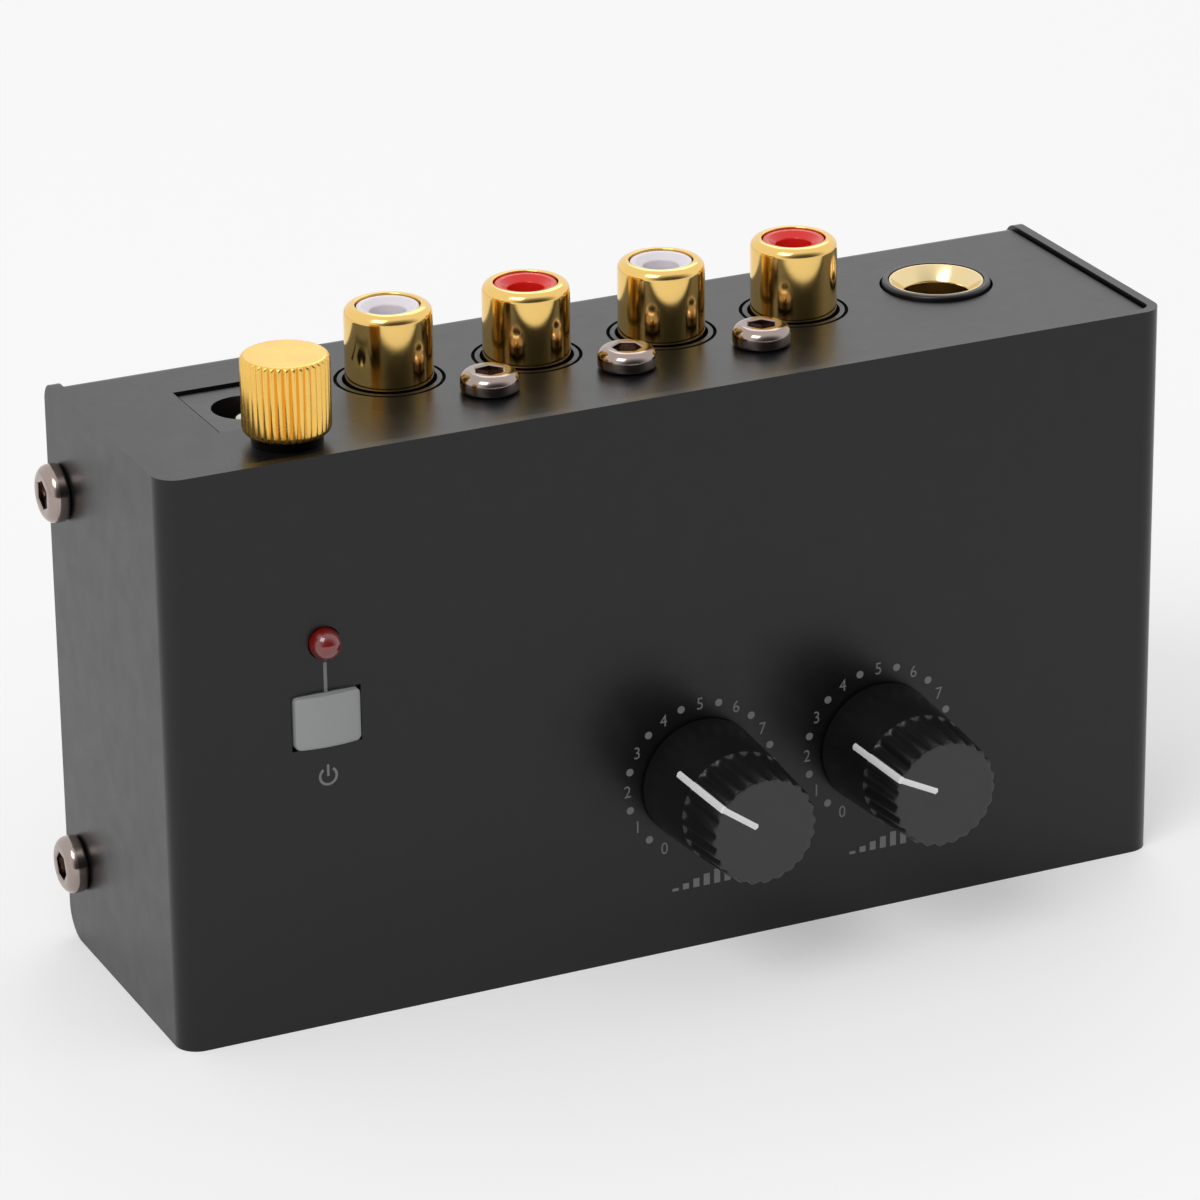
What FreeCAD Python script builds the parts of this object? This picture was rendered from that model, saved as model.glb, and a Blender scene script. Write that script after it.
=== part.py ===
import FreeCAD, Part
import math
import os
import re
import Sketcher

os.makedirs("parts", exist_ok=True)
doc = FreeCAD.newDocument("PhonoPreamp")

# Driving sizes in mm and degrees. X runs along the case, Y from the knob panel to the back
# plate and Z up to the jacks. The origin is the middle of the bottom face.
SIZES = [
    ("case_length", "102.5"), ("case_depth", "30"), ("case_height", "56.5"),
    ("sheet_thick", "1"), ("cover_bend", "2.2"), ("top_bend", "2"), ("low_bend", "3"),
    ("rim_proud", "0.4"), ("seam_gap", "0.3"),
    ("tab_wide", "11"), ("tab_deep", "7"),
    ("screw_thread", "3"), ("screw_head", "5.6"), ("screw_head_high", "2"),
    ("screw_round", "0.9"), ("socket_size", "2.5"), ("socket_deep", "1.2"),
    ("screw_clear", "0.2"), ("thread_clear", "0.1"),
    ("side_screw_inset", "3.65"), ("side_screw_low", "8.65"), ("side_screw_drop", "9.9"),
    ("side_screw_long", "4"),
    ("foot_radius", "4"), ("foot_high", "1.5"), ("foot_inset", "9"),
    ("board_gap", "5"), ("board_thick", "1.6"), ("board_margin", "2.45"),
    ("board_low", "3"), ("board_drop", "2.6"), ("board_screw_inset", "3.5"),
    ("board_screw_low", "7"), ("board_screw_high", "22"), ("board_screw_bite", "4"),
    ("standoff_radius", "2.5"),
    ("rca_first", "-21.95"), ("rca_pitch", "14"), ("rca_over", "5.5"), ("boss_shift", "7.2"),
    ("housing_end", "6.6"), ("housing_deep", "10"), ("housing_wide", "6.3"),
    ("housing_floor", "2"), ("boss_radius", "3"), ("boss_deep", "7"),
    ("collar_radius", "4.9"), ("collar_bore", "4.45"), ("collar_gap", "0.35"),
    ("shell_radius", "4.15"), ("shell_bore", "3.05"), ("shell_rise", "7.3"),
    ("shell_neck", "0.45"), ("neck_rise", "0.15"),
    ("shell_round", "0.9"), ("insulator_radius", "2.95"), ("insulator_sink", "0.45"),
    ("insulator_hole", "1.7"), ("contact_radius", "2.1"), ("contact_bore", "1.65"),
    ("contact_room", "0.1"), ("contact_sink", "3.6"), ("tail_thick", "0.5"), ("tail_wide", "1.2"),
    ("tail_out", "1"), ("tail_clear", "0.25"), ("shell_tab_x", "3.6"),
    ("jack_screw_long", "7"),
    ("plug_x", "35.7"), ("plug_over", "5.1"), ("plug_half", "7.4"), ("plug_deep", "24"),
    ("plug_wide", "7.3"), ("plug_room", "0.6"), ("plug_floor", "1.5"),
    ("plug_collar", "5.25"), ("plug_collar_rise", "0.5"),
    ("plug_gap", "0.25"), ("flare_radius", "4.6"), ("flare_deep", "1.4"),
    ("plug_bore", "3.25"), ("bushing_long", "9"), ("bushing_radius", "4.6"),
    ("bushing_fit", "0.05"), ("spring_thick", "0.4"), ("spring_wide", "2.4"),
    ("spring_first", "3"), ("spring_pitch", "7"), ("spring_clear", "0.1"),
    ("power_x", "-36.6"), ("power_over", "6"), ("power_half", "4.5"), ("power_half_back", "5.5"),
    ("power_gap", "0.35"), ("power_sink", "0.3"), ("power_long", "14"),
    ("power_bore", "3.15"), ("power_bore_deep", "9.5"), ("pin_radius", "1.05"),
    ("pin_sink", "0.8"), ("pin_root", "0.8"), ("pin_root_rise", "0.3"), ("blade_x", "3"),
    ("ground_x", "-36.7"), ("ground_shift", "10.55"), ("stud_radius", "2"), ("stud_rise", "5.4"),
    ("stud_long", "14"), ("washer_radius", "3.3"), ("washer_thick", "0.9"), ("thumb_gap", "0.05"),
    ("thumb_radius", "4.1"), ("thumb_high", "7.4"), ("thumb_bore_deep", "5.6"),
    ("thumb_fit", "0.05"), ("thumb_edge", "0.35"), ("ridge_deep", "0.28"), ("ridge_half", "0.3"),
    ("ridge_count", "36"), ("nut_flats", "7"), ("nut_thick", "2.4"), ("lug_thick", "0.6"),
    ("control_x", "-36.1"), ("lamp_room", "1"), ("lamp_radius", "1.5"), ("lamp_proud", "0.3"),
    ("lamp_clear", "0.1"), ("lamp_flange", "1.9"), ("lamp_long", "4"), ("lamp_flange_thick", "1"),
    ("spacer_radius", "2.4"), ("lead_radius", "0.25"), ("lead_pitch", "2.54"),
    ("lead_clear", "0.1"),
    ("button_drop", "7.45"), ("button_wide", "6.5"), ("button_tall", "5.1"),
    ("button_corner", "0.5"), ("button_edge", "0.5"), ("button_dome", "0.4"),
    ("button_gap", "0.2"), ("button_lip", "0.7"), ("button_lip_thick", "0.8"),
    ("button_travel", "2.2"), ("stem_half", "2"), ("stem_long", "9.8"), ("plunger_half", "1.2"),
    ("plunger_room", "0.1"), ("switch_half", "4.1"), ("switch_long", "10"),
    ("level_x", "1.7"), ("volume_x", "20.6"), ("dial_up", "17.5"),
    ("level_turn", "54.5"), ("volume_turn", "63.5"),
    ("knob_gap", "0.3"), ("knob_long", "13.4"), ("knob_base", "6.15"), ("knob_waist", "5.75"),
    ("knob_face", "5.35"), ("flute_start", "7.7"), ("flute_count", "24"), ("flute_radius", "0.55"),
    ("flute_bite", "0.32"), ("knob_bore_deep", "10.6"), ("pointer_wide", "0.7"),
    ("pointer_start", "4.8"), ("pointer_deep", "0.5"), ("pointer_proud", "0.05"),
    ("pointer_stop", "0.9"),
    ("shaft_radius", "3"), ("shaft_fit", "0.04"), ("knob_fit", "0.05"), ("shaft_hole", "3.6"),
    ("shaft_flat", "1.5"), ("flat_long", "7"), ("pot_half", "5"), ("pot_high", "6.8"),
    ("pot_bushing", "3.5"), ("pot_bushing_long", "5"),
    ("chip_long", "9.8"), ("chip_wide", "6.35"), ("chip_high", "3.6"), ("chip_stand", "0.5"),
    ("can_radius", "3.15"), ("can_high", "11"), ("film_long", "7.2"), ("film_wide", "3"),
    ("film_high", "6.5"), ("resistor_radius", "1.15"), ("resistor_long", "6.3"),
    ("regulator_wide", "8"), ("regulator_high", "15"), ("regulator_thick", "4.4"),
    ("regulator_x", "-37.5"), ("regulator_low", "10.5"),
]
DERIVED = [
    ("side_face", "=case_length / 2"), ("front_face", "=-case_depth / 2"),
    ("back_face", "=case_depth / 2"), ("front_inside", "=front_face + sheet_thick"),
    ("back_inside", "=back_face - sheet_thick"), ("panel_top", "=case_height - rim_proud"),
    ("panel_under", "=panel_top - sheet_thick"),
    ("chassis_half", "=side_face - sheet_thick - seam_gap"),
    ("side_screw_back", "=back_face - side_screw_inset"),
    ("side_screw_high", "=case_height - side_screw_drop"),
    ("board_half", "=chassis_half - board_margin"),
    ("board_high", "=panel_under - board_drop"),
    ("board_screw_x", "=board_half - board_screw_inset"),
    ("board_back", "=back_inside - board_gap"), ("board_front", "=board_back - board_thick"),
    ("board_level", "=front_face - board_front"),
    ("rca_back", "=board_front - rca_over"), ("boss_back", "=rca_back - boss_shift"),
    ("housing_front", "=rca_back - housing_wide"), ("plug_back", "=board_front - plug_over"),
    ("plug_front", "=plug_back - plug_wide"), ("power_back", "=board_front - power_over"),
    ("ground_back", "=power_back - ground_shift"),
    ("housing_bottom", "=panel_under - housing_deep"),
    ("housing_seat", "=housing_bottom + housing_floor"), ("shell_top", "=panel_top + shell_rise"),
    ("insulator_top", "=shell_top - insulator_sink"),
    ("contact_top", "=shell_top - contact_sink"), ("tail_level", "=housing_bottom - tail_thick"),
    ("plug_top", "=panel_top + plug_collar_rise"), ("plug_bottom", "=panel_under - plug_deep"),
    ("power_top", "=panel_top - power_sink"), ("power_bottom", "=power_top - power_long"),
    ("lamp_up", "=power_bottom - lamp_room - spacer_radius"),
    ("button_up", "=lamp_up - button_drop"),
    ("thumb_under", "=panel_top + washer_thick + thumb_gap"),
    ("switch_front", "=board_level + switch_long"),
]

sheet = doc.addObject("Spreadsheet::Sheet", "Sizes")
for row, (name, entry) in enumerate(SIZES + DERIVED, 1):
    sheet.set("A%d" % row, name)
    sheet.set("B%d" % row, entry)
    sheet.setAlias("B%d" % row, name)
NAMES = {name for name, entry in SIZES + DERIVED}
doc.recompute()
scratch = doc.addObject("Spreadsheet::Sheet", "Scratch")


def measure(text):
    """Number that a formula over the named sizes gives."""
    scratch.set("A1", "=" + bound(text))
    scratch.recompute()
    return float(scratch.get("A1"))


def bound(text):
    """The same formula as other objects write it, with the sheet's name on each size."""
    return re.sub(r"[a-z_]+", lambda m: "Sizes." + m.group() if m.group() in NAMES else m.group(),
                  text)


def body_named(label, several=False):
    """Empty body. Several solids are allowed where like pieces share one node."""
    body = doc.addObject("PartDesign::Body", label)
    body.Label = label
    body.AllowCompound = several
    return body


def sketch_at(body, plane, place="0"):
    """Sketch on an origin plane, moved to the given coordinate along that plane's axis."""
    sketch = body.newObject("Sketcher::SketchObject", body.Label + "_sketch")
    base = [item for item in body.Origin.OriginFeatures if item.Role == plane][0]
    sketch.AttachmentSupport = [(base, "")]
    sketch.MapMode = "FlatFace"
    sign = "-1" if plane == "XZ_Plane" else "1"
    sketch.setExpression("AttachmentOffset.Base.z", bound("%s * (%s)" % (sign, place)))
    return sketch


def hold(sketch, shape, vertex, across, up):
    """Tie one point of the sketch to its two coordinates."""
    for kind, text in (("DistanceX", across), ("DistanceY", up)):
        row = sketch.addConstraint(Sketcher.Constraint(kind, shape, vertex, measure(text)))
        sketch.setExpression("Constraints[%d]" % row, bound(text))


def outline(sketch, points):
    """Closed outline of straight lines through the points."""
    spots = [FreeCAD.Vector(measure(across), measure(up), 0) for across, up in points]
    first = sketch.GeometryCount
    count = len(spots)
    for step in range(count):
        sketch.addGeometry(Part.LineSegment(spots[step], spots[(step + 1) % count]), False)
    for step in range(count):
        after = first + (step + 1) % count
        sketch.addConstraint(Sketcher.Constraint("Coincident", first + step, 2, after, 1))
        hold(sketch, first + step, 1, points[step][0], points[step][1])


def oblong(sketch, left, right, low, high):
    """Upright rectangle between four coordinates."""
    outline(sketch, [(left, low), (right, low), (right, high), (left, high)])


def disc(sketch, across, up, radius):
    """Circle about a point."""
    centre = FreeCAD.Vector(measure(across), measure(up), 0)
    shape = sketch.addGeometry(Part.Circle(centre, FreeCAD.Vector(0, 0, 1), measure(radius)), False)
    row = sketch.addConstraint(Sketcher.Constraint("Radius", shape, measure(radius)))
    sketch.setExpression("Constraints[%d]" % row, bound(radius))
    hold(sketch, shape, 3, across, up)


def hexagon(sketch, across, up, flats):
    """Regular hexagon given by the distance between its flats."""
    reach = 1 / math.sqrt(3)
    turns = [math.radians(60 * step) for step in range(6)]
    outline(sketch, [("%s + %s * %.6f" % (across, flats, reach * math.cos(turn)),
                      "%s + %s * %.6f" % (up, flats, reach * math.sin(turn))) for turn in turns])


def settle(feature):
    """Build the feature and stop where it fails."""
    doc.recompute()
    if feature.Shape.isNull() or "Invalid" in feature.State:
        raise RuntimeError("feature fails: " + feature.Label)


def swept(body, sketch, kind, length):
    """Pad or pocket that runs from the sketch along the positive axis of its plane."""
    feature = body.newObject("PartDesign::" + kind, body.Label + "_" + kind.lower())
    feature.Profile = sketch
    feature.setExpression("Length", bound(length))
    backward = sketch.AttachmentSupport[0][0].Role == "XZ_Plane"
    feature.Reversed = backward if kind == "Pad" else not backward
    sketch.Visibility = False
    body.Tip = feature
    settle(feature)
    if kind == "Pocket" and feature.Shape.Volume >= feature.BaseFeature.Shape.Volume:
        raise RuntimeError("pocket cuts nothing: " + feature.Label)
    return feature


def pad(body, sketch, length):
    """Add material from the sketch on."""
    return swept(body, sketch, "Pad", length)


def cut(body, sketch, length):
    """Take material away from the sketch on."""
    return swept(body, sketch, "Pocket", length)


def spun(body, points):
    """Solid of revolution about Z from a profile of radius and height."""
    sketch = sketch_at(body, "XZ_Plane")
    outline(sketch, points)
    feature = body.newObject("PartDesign::Revolution", body.Label + "_turned")
    feature.Profile = sketch
    feature.ReferenceAxis = (sketch, ["V_Axis"])
    feature.Angle = 360
    sketch.Visibility = False
    body.Tip = feature
    settle(feature)
    return feature


def rounded(body, radius, chosen):
    """Fillet on the edges of the last feature that the test picks."""
    last = body.Tip
    picked = ["Edge%d" % (number + 1) for number, edge in enumerate(last.Shape.Edges)
              if chosen(edge)]
    if not picked:
        raise RuntimeError("no edge to round: " + body.Label)
    feature = body.newObject("PartDesign::Fillet", body.Label + "_round")
    feature.Base = (last, picked)
    feature.setExpression("Radius", bound(radius))
    body.Tip = feature
    settle(feature)
    return feature


def around(body, feature, count):
    """Repeat a feature in a ring about Z."""
    ring = body.newObject("PartDesign::PolarPattern", body.Label + "_ring")
    ring.Originals = [feature]
    axis = [item for item in body.Origin.OriginFeatures if item.Role == "Z_Axis"][0]
    ring.Axis = (axis, [""])
    ring.Angle = 360
    ring.setExpression("Occurrences", bound(count))
    body.Tip = ring
    settle(ring)
    return ring


def place(body, across, back, up):
    """Bind the body's origin to three coordinates."""
    for axis, text in (("x", across), ("y", back), ("z", up)):
        body.setExpression("Placement.Base." + axis, bound(text))


def face_out(body, across, up, turn="0"):
    """Stand the body on the knob panel: its Z points out of the panel, its Y points up."""
    lean = FreeCAD.Rotation(FreeCAD.Vector(1, 0, 0), 90)
    spin = FreeCAD.Rotation(FreeCAD.Vector(0, 0, 1), measure(turn))
    body.Placement = FreeCAD.Placement(FreeCAD.Vector(0, 0, 0), lean.multiply(spin))
    place(body, across, "front_face", up)


def runs_along(edge, axis):
    """True for a straight edge parallel to one axis."""
    if len(edge.Vertexes) != 2 or edge.Curve.TypeId != "Part::GeomLine":
        return False
    way = edge.Vertexes[1].Point - edge.Vertexes[0].Point
    others = [value for index, value in enumerate(way) if index != axis]
    return max(abs(value) for value in others) < 1e-6


def is_near(edge, **wanted):
    """True where the middle of the edge has the wanted coordinates."""
    middle = edge.CenterOfMass
    return all(abs(getattr(middle, axis) - value) < 1e-4 for axis, value in wanted.items())


def is_ring(edge, radius, up=None):
    """True for a full circle of the given radius, at the given height where one is given."""
    if edge.Curve.TypeId != "Part::GeomCircle" or abs(edge.Curve.Radius - radius) > 1e-4:
        return False
    return up is None or abs(edge.CenterOfMass.z - up) < 1e-4


RCA_X = ["rca_first + %d * rca_pitch" % step for step in range(4)]
BOSS_X = ["rca_first + %.1f * rca_pitch" % (step + 0.5) for step in range(3)]
SIDE_SCREWS = ["side_screw_low", "side_screw_high"]
BOARD_SCREWS = [(side + " board_screw_x", up) for side in ("-1 *", "1 *")
                for up in ("board_screw_low", "board_screw_high")]
SPRING_LOW = "panel_under - spring_first - %d * spring_pitch - spring_wide"
DIALS = [("level", "level_x", "level_turn"), ("volume", "volume_x", "volume_turn")]


def cover():
    """Front panel and both side panels, folded from one sheet."""
    body = body_named("cover")
    sketch = sketch_at(body, "XY_Plane")
    outline(sketch, [
        ("-side_face", "front_face"), ("side_face", "front_face"), ("side_face", "back_face"),
        ("side_face - sheet_thick", "back_face"), ("side_face - sheet_thick", "front_inside"),
        ("sheet_thick - side_face", "front_inside"), ("sheet_thick - side_face", "back_face"),
        ("-side_face", "back_face")])
    pad(body, sketch, "case_height")
    front, inside = measure("front_face"), measure("front_inside")
    rounded(body, "cover_bend", lambda e: runs_along(e, 2) and is_near(e, y=front))
    rounded(body, "cover_bend - sheet_thick", lambda e: runs_along(e, 2) and is_near(e, y=inside))
    back, top = measure("back_face"), measure("case_height")
    rounded(body, "top_bend", lambda e: runs_along(e, 0) and is_near(e, y=back, z=top))
    rounded(body, "low_bend", lambda e: runs_along(e, 0) and is_near(e, y=back, z=0))
    holes = sketch_at(body, "XZ_Plane", "front_face")
    for name, across, turn in DIALS:
        disc(holes, across, "dial_up", "shaft_hole")
    disc(holes, "control_x", "lamp_up", "lamp_radius + lamp_clear")
    oblong(holes, "control_x - button_wide / 2 - button_gap",
           "control_x + button_wide / 2 + button_gap",
           "button_up - button_tall / 2 - button_gap", "button_up + button_tall / 2 + button_gap")
    cut(body, holes, "sheet_thick")
    for start in ("-side_face", "side_face - sheet_thick"):
        holes = sketch_at(body, "YZ_Plane", start)
        for up in SIDE_SCREWS:
            disc(holes, "side_screw_back", up, "screw_thread / 2 + screw_clear")
        cut(body, holes, "sheet_thick")
    return body


def chassis_holes(body):
    """Openings of the jack panel."""
    holes = sketch_at(body, "XY_Plane", "panel_under")
    for across in RCA_X:
        disc(holes, across, "rca_back", "collar_radius + collar_gap")
    for across in BOSS_X:
        disc(holes, across, "boss_back", "screw_thread / 2 + screw_clear")
    disc(holes, "plug_x", "plug_back", "plug_collar + plug_gap")
    disc(holes, "ground_x", "ground_back", "stud_radius + screw_clear")
    oblong(holes, "power_x - power_half - power_gap", "power_x + power_half + power_gap",
           "power_back - power_half_back - power_gap", "power_back + power_half_back + power_gap")
    cut(body, holes, "sheet_thick")


def chassis():
    """Jack panel, back plate and bottom panel, folded from one sheet, with four screw tabs."""
    body = body_named("chassis")
    sketch = sketch_at(body, "YZ_Plane", "-chassis_half")
    outline(sketch, [
        ("front_inside + seam_gap", "0"), ("back_face", "0"), ("back_face", "panel_top"),
        ("front_inside + seam_gap", "panel_top"), ("front_inside + seam_gap", "panel_under"),
        ("back_inside", "panel_under"), ("back_inside", "sheet_thick"),
        ("front_inside + seam_gap", "sheet_thick")])
    pad(body, sketch, "2 * chassis_half")
    back, inside = measure("back_face"), measure("back_inside")
    top, under, low = measure("panel_top"), measure("panel_under"), measure("sheet_thick")
    rounded(body, "top_bend", lambda e: runs_along(e, 0) and is_near(e, y=back, z=top))
    rounded(body, "top_bend - sheet_thick",
            lambda e: runs_along(e, 0) and is_near(e, y=inside, z=under))
    rounded(body, "low_bend", lambda e: runs_along(e, 0) and is_near(e, y=back, z=0))
    rounded(body, "low_bend - sheet_thick",
            lambda e: runs_along(e, 0) and is_near(e, y=inside, z=low))
    edge = measure("front_inside + seam_gap")
    rounded(body, "cover_bend - sheet_thick - seam_gap",
            lambda e: runs_along(e, 2) and is_near(e, y=edge))
    for start in ("-chassis_half", "chassis_half - sheet_thick"):
        tabs = sketch_at(body, "YZ_Plane", start)
        for up in SIDE_SCREWS:
            oblong(tabs, "back_inside - tab_deep", "back_inside + sheet_thick / 2",
                   up + " - tab_wide / 2", up + " + tab_wide / 2")
        pad(body, tabs, "sheet_thick")
        holes = sketch_at(body, "YZ_Plane", start)
        for up in SIDE_SCREWS:
            disc(holes, "side_screw_back", up, "screw_thread / 2 + thread_clear")
        cut(body, holes, "sheet_thick")
    chassis_holes(body)
    return body


def side_screws():
    """Four socket screws, two on each side panel."""
    body = body_named("side_screws", True)
    sides = [("-side_face - screw_head_high", "-side_face", "-side_face - screw_head_high"),
             ("side_face", "side_face - side_screw_long",
              "side_face + screw_head_high - socket_deep")]
    for head, shank, socket in sides:
        sketch = sketch_at(body, "YZ_Plane", head)
        for up in SIDE_SCREWS:
            disc(sketch, "side_screw_back", up, "screw_head / 2")
        pad(body, sketch, "screw_head_high")
    for head, shank, socket in sides:
        sketch = sketch_at(body, "YZ_Plane", shank)
        for up in SIDE_SCREWS:
            disc(sketch, "side_screw_back", up, "screw_thread / 2")
        pad(body, sketch, "side_screw_long")
    reach = measure("side_face + screw_head_high")
    head_radius = measure("screw_head / 2")
    rounded(body, "screw_round",
            lambda e: is_ring(e, head_radius) and abs(abs(e.CenterOfMass.x) - reach) < 1e-4)
    for head, shank, socket in sides:
        sketch = sketch_at(body, "YZ_Plane", socket)
        for up in SIDE_SCREWS:
            hexagon(sketch, "side_screw_back", up, "socket_size")
        cut(body, sketch, "socket_deep")
    return body


def jack_screws():
    """Three socket screws between the phono sockets."""
    body = body_named("jack_screws", True)
    for start, radius, length in (("panel_top", "screw_head / 2", "screw_head_high"),
                                  ("panel_top - jack_screw_long", "screw_thread / 2",
                                   "jack_screw_long")):
        sketch = sketch_at(body, "XY_Plane", start)
        for across in BOSS_X:
            disc(sketch, across, "boss_back", radius)
        pad(body, sketch, length)
    top, head_radius = measure("panel_top + screw_head_high"), measure("screw_head / 2")
    rounded(body, "screw_round", lambda e: is_ring(e, head_radius, top))
    sketch = sketch_at(body, "XY_Plane", "panel_top + screw_head_high - socket_deep")
    for across in BOSS_X:
        hexagon(sketch, across, "boss_back", "socket_size")
    cut(body, sketch, "socket_deep")
    return body


def feet():
    """Four round rubber feet on the back plate."""
    body = body_named("rubber_feet", True)
    sketch = sketch_at(body, "XZ_Plane", "back_face")
    for across in ("foot_inset - side_face", "side_face - foot_inset"):
        for up in ("foot_inset", "panel_top - foot_inset"):
            disc(sketch, across, up, "foot_radius")
    pad(body, sketch, "foot_high")
    return body


def tail_spots():
    """Where the contact tails pass the board: across, up and half widths of each slot."""
    spots = []
    for across in RCA_X:
        for shift in ("0", "shell_tab_x"):
            spots.append((across + " + " + shift, "tail_level + tail_thick / 2"))
    for step in range(3):
        spots.append(("plug_x", SPRING_LOW % step + " + spring_wide / 2"))
    spots.append(("power_x", "power_bottom - tail_thick / 2"))
    spots.append(("power_x - blade_x", "power_bottom - tail_thick / 2"))
    return spots


def circuit_board():
    """Board parallel to the knob panel, drilled for its screws and the contact tails."""
    body = body_named("circuit_board")
    sketch = sketch_at(body, "XZ_Plane", "board_front")
    oblong(sketch, "-board_half", "board_half", "board_low", "board_high")
    for across, up in BOARD_SCREWS:
        disc(sketch, across, up, "screw_thread / 2 + screw_clear")
    pad(body, sketch, "board_thick")
    holes = sketch_at(body, "XZ_Plane", "board_front")
    for across, up in tail_spots():
        wide = "spring_wide" if "plug_x" in across else "tail_thick"
        oblong(holes, across + " - tail_wide / 2 - tail_clear",
               across + " + tail_wide / 2 + tail_clear",
               "%s - %s / 2 - tail_clear" % (up, wide), "%s + %s / 2 + tail_clear" % (up, wide))
    for side in ("-", "+"):
        disc(holes, "control_x %s lead_pitch / 2" % side, "lamp_up", "lead_radius + lead_clear")
    cut(body, holes, "board_thick")
    return body


def standoffs():
    """Four tubes pressed into the back plate that carry the board."""
    body = body_named("board_standoffs", True)
    sketch = sketch_at(body, "XZ_Plane", "board_back")
    for across, up in BOARD_SCREWS:
        disc(sketch, across, up, "standoff_radius")
        disc(sketch, across, up, "screw_thread / 2 + thread_clear")
    pad(body, sketch, "board_gap")
    return body


def board_screws():
    """Four screws from the front of the board into the standoffs."""
    body = body_named("board_screws", True)
    for start, radius, length in (("board_front - screw_head_high", "screw_head / 2",
                                   "screw_head_high"),
                                  ("board_front", "screw_thread / 2", "board_thick + board_screw_bite")):
        sketch = sketch_at(body, "XZ_Plane", start)
        for across, up in BOARD_SCREWS:
            disc(sketch, across, up, radius)
        pad(body, sketch, length)
    sketch = sketch_at(body, "XZ_Plane", "board_front - screw_head_high")
    for across, up in BOARD_SCREWS:
        hexagon(sketch, across, up, "socket_size")
    cut(body, sketch, "socket_deep")
    return body


def rca_housing():
    """Moulded block of the four phono sockets, with a collar each and three screw bosses."""
    body = body_named("phono_housing")
    block = sketch_at(body, "XY_Plane", "housing_bottom")
    oblong(block, "rca_first - housing_end", "rca_first + 3 * rca_pitch + housing_end",
           "housing_front", "board_front")
    pad(body, block, "housing_deep")
    bosses = sketch_at(body, "XY_Plane", "panel_under - boss_deep")
    for across in BOSS_X:
        oblong(bosses, across + " - boss_radius", across + " + boss_radius", "boss_back",
               "housing_front + 0.5")
        disc_end = sketch_at(body, "XY_Plane", "panel_under - boss_deep")
        disc(disc_end, across, "boss_back", "boss_radius")
        pad(body, disc_end, "boss_deep")
    pad(body, bosses, "boss_deep")
    collars = sketch_at(body, "XY_Plane", "panel_under - 0.5")
    for across in RCA_X:
        disc(collars, across, "rca_back", "collar_radius")
    pad(body, collars, "sheet_thick + 0.5")
    bores = sketch_at(body, "XY_Plane", "housing_seat")
    for across in RCA_X:
        disc(bores, across, "rca_back", "collar_bore")
    cut(body, bores, "panel_top - housing_seat")
    threads = sketch_at(body, "XY_Plane", "panel_top - jack_screw_long - 0.3")
    for across in BOSS_X:
        disc(threads, across, "boss_back", "screw_thread / 2 + thread_clear")
    cut(body, threads, "jack_screw_long + 0.3")
    slots = sketch_at(body, "XY_Plane", "housing_bottom")
    for across in RCA_X:
        for shift in ("", " + shell_tab_x"):
            oblong(slots, across + shift + " - tail_wide / 2 - tail_clear",
                   across + shift + " + tail_wide / 2 + tail_clear",
                   "rca_back - tail_thick / 2 - tail_clear",
                   "rca_back + tail_thick / 2 + tail_clear")
    cut(body, slots, "housing_floor")
    return body


def tail(body, across, near):
    """Strip under the housing that bends back through the board."""
    down = sketch_at(body, "XY_Plane", "tail_level")
    oblong(down, across + " - tail_wide / 2", across + " + tail_wide / 2",
           "-tail_thick / 2", "tail_thick / 2")
    pad(body, down, near + " - tail_level")
    strip = sketch_at(body, "XY_Plane", "tail_level")
    oblong(strip, across + " - tail_wide / 2", across + " + tail_wide / 2",
           "-tail_thick / 2", "board_back + tail_out - rca_back")
    pad(body, strip, "tail_thick")


def rca_shell(number, across):
    """Gold barrel of one phono socket with its ground tail."""
    body = body_named("phono_shell_%d" % number)
    neck = "panel_top + neck_rise"
    spun(body, [("shell_bore", "housing_seat"), ("shell_radius - shell_neck", "housing_seat"),
                ("shell_radius - shell_neck", neck), ("shell_radius", neck),
                ("shell_radius", "shell_top"), ("shell_bore", "shell_top")])
    outer, top = measure("shell_radius"), measure("shell_top")
    rounded(body, "shell_round", lambda e: is_ring(e, outer, top))
    tail(body, "shell_tab_x", "housing_seat + 0.5")
    place(body, across, "rca_back", "0")
    return body


def rca_insulator(number, across, colour):
    """Coloured insulator with a dished face and a stepped hole."""
    body = body_named("phono_insulator_%s_%d" % (colour, number))
    spun(body, [
        ("contact_radius + contact_room", "housing_seat"), ("insulator_radius", "housing_seat"),
        ("insulator_radius", "insulator_top"), ("insulator_hole", "insulator_top - 0.5"),
        ("insulator_hole", "contact_top + contact_room"),
        ("contact_radius + contact_room", "contact_top + contact_room")])
    place(body, across, "rca_back", "0")
    return body


def rca_contact(number, across):
    """Slotted centre contact of one phono socket with its tail."""
    body = body_named("phono_contact_%d" % number)
    spun(body, [("contact_bore", "housing_seat + 1"), ("contact_bore", "contact_top"),
                ("contact_radius", "contact_top"), ("contact_radius", "housing_seat"),
                ("0", "housing_seat"), ("0", "housing_seat + 1")])
    slot = sketch_at(body, "XY_Plane", "contact_top - 5")
    oblong(slot, "-0.25", "0.25", "-contact_radius - 0.1", "contact_radius + 0.1")
    cut(body, slot, "5")
    tail(body, "0", "housing_seat + 0.5")
    place(body, across, "rca_back", "0")
    return body


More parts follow.
